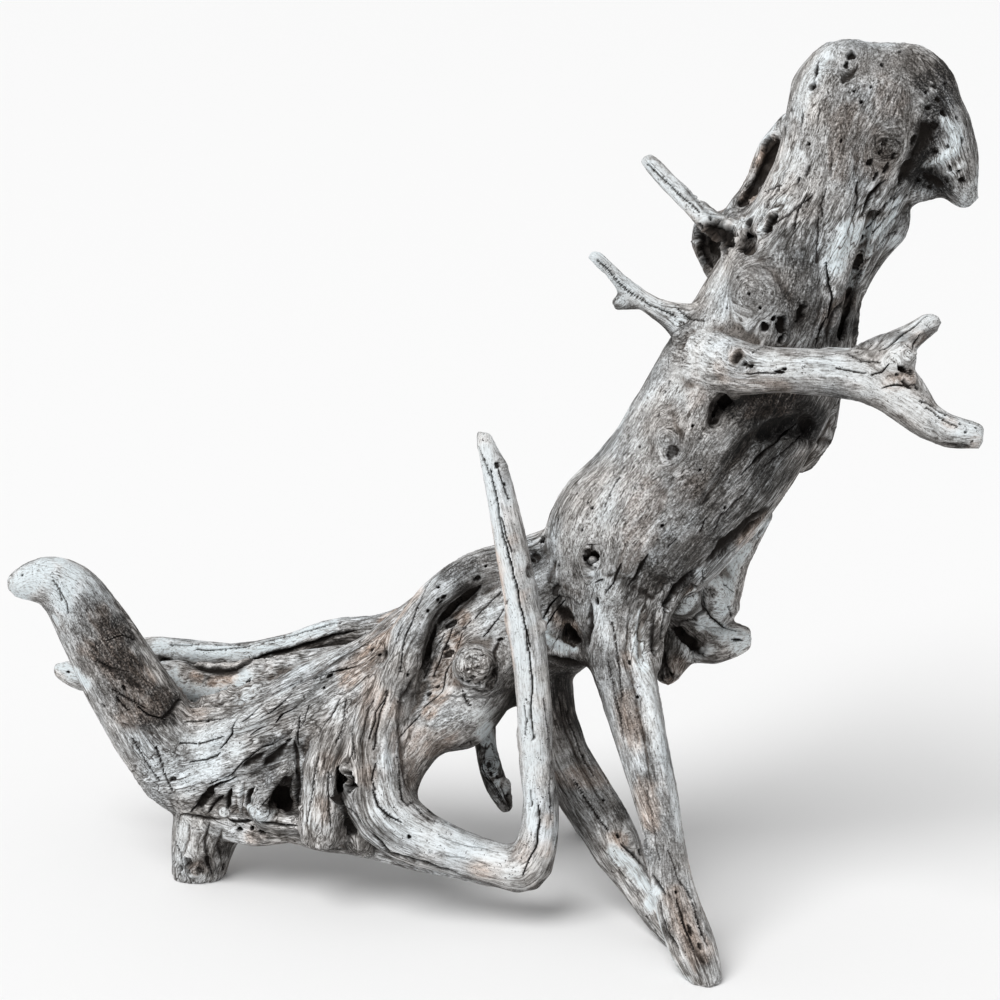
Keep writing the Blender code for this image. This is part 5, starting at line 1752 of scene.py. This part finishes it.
@dataclass
class ElbowBranch(LimbGroup):
    """The root that runs down and along, then turns up into a long pale branch."""

    nodes: tuple[str, ...] = ("elbow_branch",)
    beside: tuple[str, ...] = ("root_flare",)
    grains: tuple[Grain, ...] = Grain.rows(
        (Layer.STEM,2, 590,532,0,22, 556,548,8,22, 520,560,22,21, 474,574,28,20, 434,604,24,20,
        409,644,22,21, 392,692,22,25, 376,742,26,31, 376,788,34,34, 394,820,40,31, 424,838,42,27,
        460,854,44,24, 495,862,46,22, 520,862,48,24, 536,840,54,22, 541,802,60,18, 536,760,70,17,
        534,700,88,18, 526,628,112,18, 514,560,130,17, 503,504,142,15, 496,472,150,13, 487,448,154,10,
        482,426,156,7),
    )
    holes: tuple[Hole, ...] = Hole.rows(
        (409,837,2.2), (497,465,2.4,4,1.5,0.85), (505,484,1.3,3,2), (526,700,1,3,1.5), (398,702,1.3),
    )
    knots: tuple[Knot, ...] = Knot.rows(
        (503,466,6,1.8,0,0.1),
    )
    cracks: tuple[Crack, ...] = Crack.rows(
        (1.5,4, 478,446, 484,460, 490,476), (1.5,5, 490,470, 495,490, 499,516, 503,536, 508,552, 510,560,
        515,580, 520,600, 526,628, 530,646), (1.3,4, 526,630, 528,650, 532,674, 533,690, 531,712, 533,738),
        (1.1,3, 501,518, 508,540, 512,552), (1.1,3, 524,706, 526,722, 525,734), (1.4,3, 498,470, 504,486,
        508,500), (1.7,5, 538,806, 539,826, 536,846, 528,862, 523,876), (1.1,3, 530,790, 532,806), (2.2,5,
        344,806, 356,816, 364,827), (1.8,4, 401,786, 402,798, 408,806), (1.8,4, 372,790, 378,806, 388,816,
        402,822), (1.2,3, 410,802, 424,816, 438,822), (1,3, 418,800, 432,814, 448,824), (1,3, 398,758,
        400,774, 401,786), (1.2,3, 376,764, 372,780, 374,790), (1,1, 430,852, 460,858, 490,866), (1,1,
        440,836, 470,846, 498,852), (1,3, 552,760, 550,790, 552,820), (1,2.5, 544,700, 548,730, 550,756),
        (1.1,3, 388,690, 378,720, 374,750), (1.1,3, 358,700, 352,730, 354,760),
    )
    folds: tuple[Fold, ...] = Fold.rows(
        (7,-1.6,0, 497,470, 506,520, 518,580, 532,650, 540,720), (6.5,6,1, 360,824, 370,834, 380,842,
        390,854, 402,858, 425,863, 444,869, 461,875, 478,882, 492,887, 508,891), (10,3,0.3, 404,680, 398,720,
        402,760, 406,790), (9,3,0.2, 372,700, 362,740, 364,780, 376,806), (9,-2,0, 384,720, 384,760, 388,790,
        404,812), (8,2,0.2, 556,720, 556,760, 556,800),
    )
    finish: WoodFinish = WoodFinish(calm=1.0, lift=0.06)
    stains: tuple[Stain, ...] = (
        *Tone.BLEACH.patches(
            (0.7, 484,450,10, 488,470,10, 492,500,10, 498,530,10, 504,560,10, 510,590,10, 514,620,10,
            520,650,10, 524,680,11, 526,710,11, 528,740,11, 530,770,10, 532,800,9, 532,826,8), (0.5,
            508,500,8, 520,560,8, 530,620,8, 540,690,8, 536,760,12, 500,856,12, 460,846,14, 424,838,14,
            396,820,12, 384,760,12, 514,872,12, 374,812,10),
        ),
        *Tone.WARM.patches(
            (0.45, 520,596,9, 512,540,7, 548,850,12, 392,710,14, 520,850,12), (0.5, 366,776,12, 398,740,14,
            410,780,12, 548,820,10, 480,870,14),
        ),
        *Tone.CHAR.patches(
            (0.45, 406,770,10, 404,786,9, 554,800,8, 556,760,8, 556,840,8), (0.35, 352,800,10, 400,700,10,
            430,862,6, 470,878,6, 548,870,10),
        ),
        *Tone.PLAIN.patches(
            (0.65, 480,440,18, 490,480,20, 500,530,20, 510,580,20, 520,630,20, 526,680,20, 530,730,20,
            534,780,20, 530,830,24, 500,860,24, 450,850,24, 410,830,26, 384,780,26, 384,730,26, 396,690,24),
        ),
    )


@dataclass
class LeftRoots(LimbGroup):
    """The raised neck with its beak, the foot stub under it, the two roots behind and the hanging spur."""

    nodes: tuple[str, ...] = ("neck_root", "foot_stub", "upper_back_root", "lower_back_root", "hanging_spur")
    beside: tuple[str, ...] = ("root_flare",)
    grains: tuple[Grain, ...] = Grain.rows(
        (Layer.STEM,1, 256,764,-60,40, 214,774,-61,46, 186,762,-60,48, 158,734,-52,43, 122,676,-38,40,
        90,622,-24,34, 72,596,-14,31, 50,582,-6,26, 25,583,0,18, 6,591,0,10), (Layer.STEM,1, 222,780,-60,40,
        209,820,-66,36, 202,850,-72,30, 198,875,-78,27, 196,902,-80,25), (Layer.STEM,1, 440,620,-60,24,
        410,626,-80,20, 378,631,-100,16, 334,633,-122,15, 290,647,-130,14, 240,656,-134,14, 190,652,-146,13,
        152,649,-156,12, 128,650,-161,9), (Layer.STEM,1, 370,666,-60,26, 300,675,-76,22, 256,681,-86,18,
        214,683,-98,15, 168,682,-112,13, 120,680,-120,13, 86,677,-122,14, 66,670,-124,12, 50,667,-124,7),
        (Layer.STEM,1, 476,688,-48,20, 484,728,-62,12, 487,754,-62,12, 495,782,-58,12, 504,800,-54,10,
        510,816,-52,7),
    )
    holes: tuple[Hole, ...] = Hole.rows(
        (68,672,1.5,3,1.4), (72,666,1.2), (103,706,2.2,4,1.5), (118,700,1.5,4,2.6), (124,688,1.8,4,2,0.8),
        (22,575,1.4,3,1.2,0.6), (156,748,1.4,3,1.2), (188,862,5,5,1.1,0.5), (200,870,4,5,1.2,0.6),
        (181,868,2.5,4,1.2,0.5), (224,866,3,5,1.6,0.8), (175,842,1.6,4,1.8), (489,765,2.2,4,1.4,0.8),
        (491,774,1.8,4,1.6,0.8), (497,777,1.5,4,1.6,0.8), (484,758,1.3,3,1.6,0.7), (508,795,2.2,4,1.4,0.9),
        (236,674,3,3,1.8,0.5), (222,676,3,3,2.2,0.5),
    )
    knots: tuple[Knot, ...] = Knot.rows(
        (491,766,9,3.2,0,0.3), (506,785,6,4,0,0.2), (196,872,4,3,0,0.3),
    )
    cracks: tuple[Crack, ...] = Crack.rows(
        (1,2, 60,588, 66,602, 68,614), (1,2, 52,580, 60,590, 62,600), (1.8,4, 116,697, 122,704, 128,710),
        (1.6,4, 138,706, 150,716, 166,720), (1.2,3, 108,640, 122,636, 134,640), (1.2,3, 96,660, 112,668,
        128,672), (1.2,3, 112,690, 130,700, 146,708), (1.2,3, 132,740, 144,760, 160,780), (1.1,3, 156,746,
        164,770, 172,790), (2,4, 120,600, 130,616, 138,632), (1.4,4, 176,842, 180,856, 184,866), (1.3,3,
        180,816, 178,834), (1.2,3, 196,650, 240,648, 290,636, 340,622), (1,3, 170,646, 210,644, 250,646),
        (1.3,3, 482,764, 487,778, 496,792, 504,804), (1.2,3, 488,776, 494,786, 502,798), (1.1,2, 492,744,
        496,760), (1,2, 486,744, 484,758, 486,766), (1.2,3, 500,786, 506,798, 510,808),
    )
    folds: tuple[Fold, ...] = Fold.rows(
        (80,-9,0, 170,672, 184,684, 220,686, 250,684), (8.5,7,1, 154,658, 178,664, 204,672, 226,674, 244,669,
        258,660), (12,-3,0, 178,692, 196,699, 222,699, 244,690), (8,7,0.93, 362,628, 340,634, 312,643,
        286,651, 262,657, 246,666), (9,2.5,0.5, 206,681, 224,677, 244,675), (8,5,0.5, 186,690, 180,700,
        170,712, 158,722), (14,-3,0, 150,690, 166,696, 180,694), (12,2.5,0.2, 122,722, 140,730, 158,734),
        (10,2.5,0.25, 104,666, 124,674, 144,690), (8,3,0.4, 112,596, 124,612, 132,632), (16,2,0.1, 90,622,
        108,626, 124,634), (5,4,0.4, 210,818, 205,840, 207,862, 214,878), (7,3,0.2, 222,826, 219,846,
        222,864), (6,2,0.15, 190,822, 188,840, 182,856), (6,-2.5,0, 198,822, 196,846, 200,860), (5,-2.5,0,
        214,830, 212,856, 216,874), (6,4.5,0.75, 178,815, 200,817, 224,820), (6,-2,0, 172,860, 182,872,
        196,878), (10,-1.5,0, 60,580, 66,596, 72,614), (4,1.5,0.3, 490,780, 498,792, 506,806), (6,4,0.9,
        503,793, 507,799, 511,803), (4,-2,0, 491,768, 496,774, 500,782),
    )
    stains: tuple[Stain, ...] = (
        *Tone.BLEACH.patches(
            (1, 14,586,14, 28,574,15, 46,566,14, 20,596,12, 60,560,10), (0.9, 60,588,13, 64,606,9, 72,570,14,
            56,620,8, 48,580,14), (0.5, 86,578,12, 94,592,10, 70,620,10), (0.35, 84,584,12, 66,640,9,
            150,760,14, 140,740,12, 170,770,12), (1, 156,648,10, 180,650,11, 206,650,11, 232,652,11,
            258,648,10, 284,640,10, 310,630,10, 332,624,9, 176,680,9, 190,693,11, 214,698,10, 236,692,9,
            250,682,8, 70,672,12, 60,664,9, 84,682,9), (0.35, 200,830,12, 196,850,12, 216,834,10, 180,860,9),
            (0.5, 182,830,10, 180,846,9, 186,820,8), (1, 484,730,10, 488,744,12, 494,758,12, 488,768,9,
            494,782,8), (0.6, 500,794,8, 506,784,6),
        ),
        *Tone.WARM.patches(
            (1, 214,681,5, 226,681,6, 236,679,5, 204,679,4, 196,677,4), (0.7, 112,640,16, 116,672,14,
            138,690,14, 130,716,16, 160,700,14, 100,620,14, 150,680,12, 128,660,14, 196,868,10, 90,650,12),
            (0.6, 506,784,7, 492,778,6),
        ),
        *Tone.CHAR.patches(
            (0.85, 106,626,12, 122,620,10, 118,640,12, 100,648,12, 118,674,9, 152,690,12, 170,700,14,
            166,716,12, 144,722,10, 130,636,9, 112,656,12, 136,664,12), (0.45, 84,620,20, 100,650,20,
            116,690,24, 140,710,24, 90,600,12), (0.4, 90,630,14, 86,670,10, 130,690,14, 150,736,12,
            126,600,9), (0.4, 190,868,8, 214,846,10, 226,850,9, 206,826,9, 212,870,9), (0.3, 504,800,8,
            508,808,7, 507,788,6),
        ),
        # Painted shade in the cleft between the roots.
        *Tone.HOLLOW.patches(
            (1, 160,657,4, 168,659,4, 178,663,4, 188,668,4, 198,671,4, 210,673,4, 222,674,4, 234,673,4,
            244,669,4, 254,663,4, 264,657,4),
        ),
        *Tone.PLAIN.patches(
            (1, 90,620,40, 70,590,36, 110,660,40, 130,700,36, 30,580,30), (0.8, 156,648,12, 200,650,14,
            250,648,14, 300,636,12, 340,622,10), (0.7, 182,684,12, 206,690,13, 234,686,12, 66,668,14), (0.8,
            192,834,20, 196,856,20, 214,846,16),
        ),
    )


@dataclass
class SideBranches(LimbGroup):
    """The forked branch and the two twigs of the trunk."""

    nodes: tuple[str, ...] = ("forked_branch", "upper_twig", "lower_twig")
    beside: tuple[str, ...] = ("trunk",)
    grains: tuple[Grain, ...] = Grain.rows(
        (Layer.BRANCH,1.5, 700,360,80,38, 730,366,136,30, 764,370,172,25, 800,371,186,23, 850,375,192,25,
        881,382,196,27, 905,399,202,25, 925,418,206,19, 947,431,208,17, 971,435,209,15, 988,438,209,11),
        (Layer.STEM,1.5, 862,374,194,22, 893,348,196,17, 915,334,198,13, 930,323,199,12, 944,318,199,9),
        (Layer.BRANCH,1.5, 776,258,70,22, 742,240,80,17, 716,226,78,13, 693,206,72,11, 670,184,66,10,
        652,164,60,9, 640,152,58,7), (Layer.BRANCH,1.5, 738,346,66,36, 700,329,72,28, 678,319,76,18,
        655,308,80,12, 633,292,84,9, 612,273,90,8, 598,258,95,7, 586,252,96,6), (Layer.STEM,1.5,
        644,298,82,8, 628,304,84,7, 611,304,86,7),
    )
    holes: tuple[Hole, ...] = Hole.rows(
        (902,369,3.2,6,1.5), (910,372,2,5,1.4), (897,374,1.6,4,1.2,0.8), (906,385,2.2,5,2.6,0.9),
        (917,388,1.8,4,1.6), (915,357,1.5,4), (737,357,5.5,6,1.1,0.9), (745,364,2.2,5,1.2),
        (751,366,2,4,1.5), (779,372,2,4,2.6), (784,369,1.8,4,1.4), (972,442,1.5,4), (976,428,1.3,4),
        (966,432,1.4,3,1.2,0.6), (960,424,1.2,3,1.2,0.6),
    )
    knots: tuple[Knot, ...] = Knot.rows(
        (893,362,7,3,0,0.2), (908,356,6,2.6,0,0.2), (908,378,8,3.4,0,0.2), (893,382,5,1.6,0,0.2),
        (742,366,4,1.8,0,0.1), (730,350,4,1.6,0,0.1), (617,301,5,1,0,0.1),
    )
    cracks: tuple[Crack, ...] = Crack.rows(
        (1.2,3, 836,368, 852,372, 866,374), (1.2,3, 848,354, 864,361, 880,363), (1.6,3, 870,376, 882,372,
        888,364), (1.8,4, 884,388, 900,385, 914,384), (1.2,3, 746,374, 762,373, 776,374), (1.2,3, 752,352,
        764,346, 776,350), (1.2,3, 920,400, 940,412, 960,418), (1,2.5, 926,408, 946,420, 958,426), (1.2,3,
        880,352, 900,338, 920,322, 928,316), (1.4,3, 908,346, 912,350), (1.8,4, 920,334, 914,344, 912,352),
        (1.1,2.5, 648,164, 672,188, 700,212), (1,2.5, 598,260, 620,284, 650,306, 676,316), (1,2.5, 676,306,
        690,318, 704,322),
    )
    folds: tuple[Fold, ...] = Fold.rows(
        (16,2,0.1, 700,378, 740,380, 790,384, 840,392), (10,2,0, 800,360, 830,372, 856,374), (8,-2,0,
        846,350, 872,354, 890,350), (9,2.5,0.3, 910,342, 926,334, 938,326), (5,-2,0, 898,352, 912,358,
        916,352), (5,4,0.8, 898,366, 904,372, 912,376), (5,-2.5,0, 726,348, 744,350, 754,362), (6,2.5,0.5,
        940,442, 956,446, 972,448), (8,2,0.1, 926,418, 934,430, 938,442), (6,2.5,0.4, 680,184, 704,208,
        730,226),
    )
    finish: WoodFinish = WoodFinish(calm=0.8, lift=-0.07)
    stains: tuple[Stain, ...] = (
        *Tone.BLEACH.patches(
            (0.55, 770,362,14, 790,370,12, 812,364,12, 834,366,12, 856,372,12, 876,384,12, 898,396,12,
            914,406,12, 930,416,12, 948,424,12, 966,430,12, 980,436,10, 892,362,10, 906,358,9, 926,322,12,
            910,334,8, 894,346,9), (0.75, 652,166,10, 668,184,10, 684,200,10, 700,212,9, 720,222,8,
            596,258,10, 612,274,10, 626,288,10, 644,300,10, 660,308,10, 680,318,10, 622,300,8), (0.45,
            696,346,16, 710,362,14, 700,330,14, 690,364,10),
        ),
        *Tone.WARM.patches(
            (0.6, 906,380,8, 890,384,9, 737,357,10, 918,338,10, 950,424,9), (0.5, 744,384,14, 780,388,12,
            720,372,12, 976,440,8, 660,160,6),
        ),
        *Tone.CHAR.patches(
            (0.5, 926,338,6, 918,344,6, 960,446,7, 904,370,6, 737,357,7), (0.4, 800,394,8, 760,392,8,
            840,398,8, 690,196,6, 710,222,7),
        ),
        *Tone.PLAIN.patches(
            (0.65, 700,350,30, 730,370,28, 770,370,28, 810,370,28, 850,376,28, 930,420,26, 970,434,24,
            920,326,22, 660,170,20, 690,206,20, 600,262,18, 640,296,20),
        ),
    )


@dataclass(frozen=True)
class Studio:
    """A plain pale floor under soft light."""

    reach: float = 30.0
    colour: Colour = (0.87, 0.87, 0.87)
    roughness: float = 0.9
    sky: float = 0.53
    key_place: tuple[float, float, float] = (-1.5, -1.6, 3.0)
    key_power: float = 2.3
    key_spread: float = math.radians(40)

    def build(self) -> None:
        """Lays the floor and hangs the lights."""
        data = bpy.data.meshes.new("floor")
        corners = [(x * self.reach, y * self.reach, 0) for x, y in ((-1, -1), (1, -1), (1, 1), (-1, 1))]
        data.from_pydata(corners, [], [(0, 1, 2, 3)])
        floor = bpy.data.objects.new("floor", data)
        material = bpy.data.materials.new("pale_floor")
        material.use_nodes = True
        shader = material.node_tree.nodes["Principled BSDF"]
        shader.inputs["Base Color"].default_value = (*self.colour, 1)
        shader.inputs["Roughness"].default_value = self.roughness
        data.materials.append(material)
        scene = bpy.context.scene
        scene.collection.objects.link(floor)
        scene.world = bpy.data.worlds.new("studio")
        scene.world.use_nodes = True
        back = scene.world.node_tree.nodes["Background"]
        back.inputs["Color"].default_value = (1, 1, 1, 1)
        back.inputs["Strength"].default_value = self.sky
        scene.view_settings.view_transform = "Standard"
        lamp = bpy.data.lights.new("key", "SUN")
        lamp.energy = self.key_power
        lamp.angle = self.key_spread
        held = bpy.data.objects.new("key", lamp)
        held.location = self.key_place
        held.rotation_euler = (-held.location).to_track_quat("-Z", "Y").to_euler()
        scene.collection.objects.link(held)


def main() -> None:
    """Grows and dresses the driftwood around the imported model."""
    for leftover in list(bpy.data.objects):
        bpy.data.objects.remove(leftover)
    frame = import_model()
    eye = Eye()
    eye.camera()
    wood = Wood(eye)
    wood.grow(frame["nodes"])
    groups = (Trunk(), RootBody(), Legs(), ElbowBranch(), LeftRoots(), SideBranches())
    wood.mend(groups)
    grains = [grain for group in groups for grain in group.grains]
    for group in groups:
        wood.aim(group, grains)
    wood.weather(Weather(), grains)
    wood.refine()
    wood.lay_grain(grains)
    wood.carve()
    wood.press()
    for group in groups:
        group.build(wood)
    Studio().build()


if __name__ == "__main__":
    logging.basicConfig(level=logging.INFO, format="%(relativeCreated)d %(name)s: %(message)s")
    main()
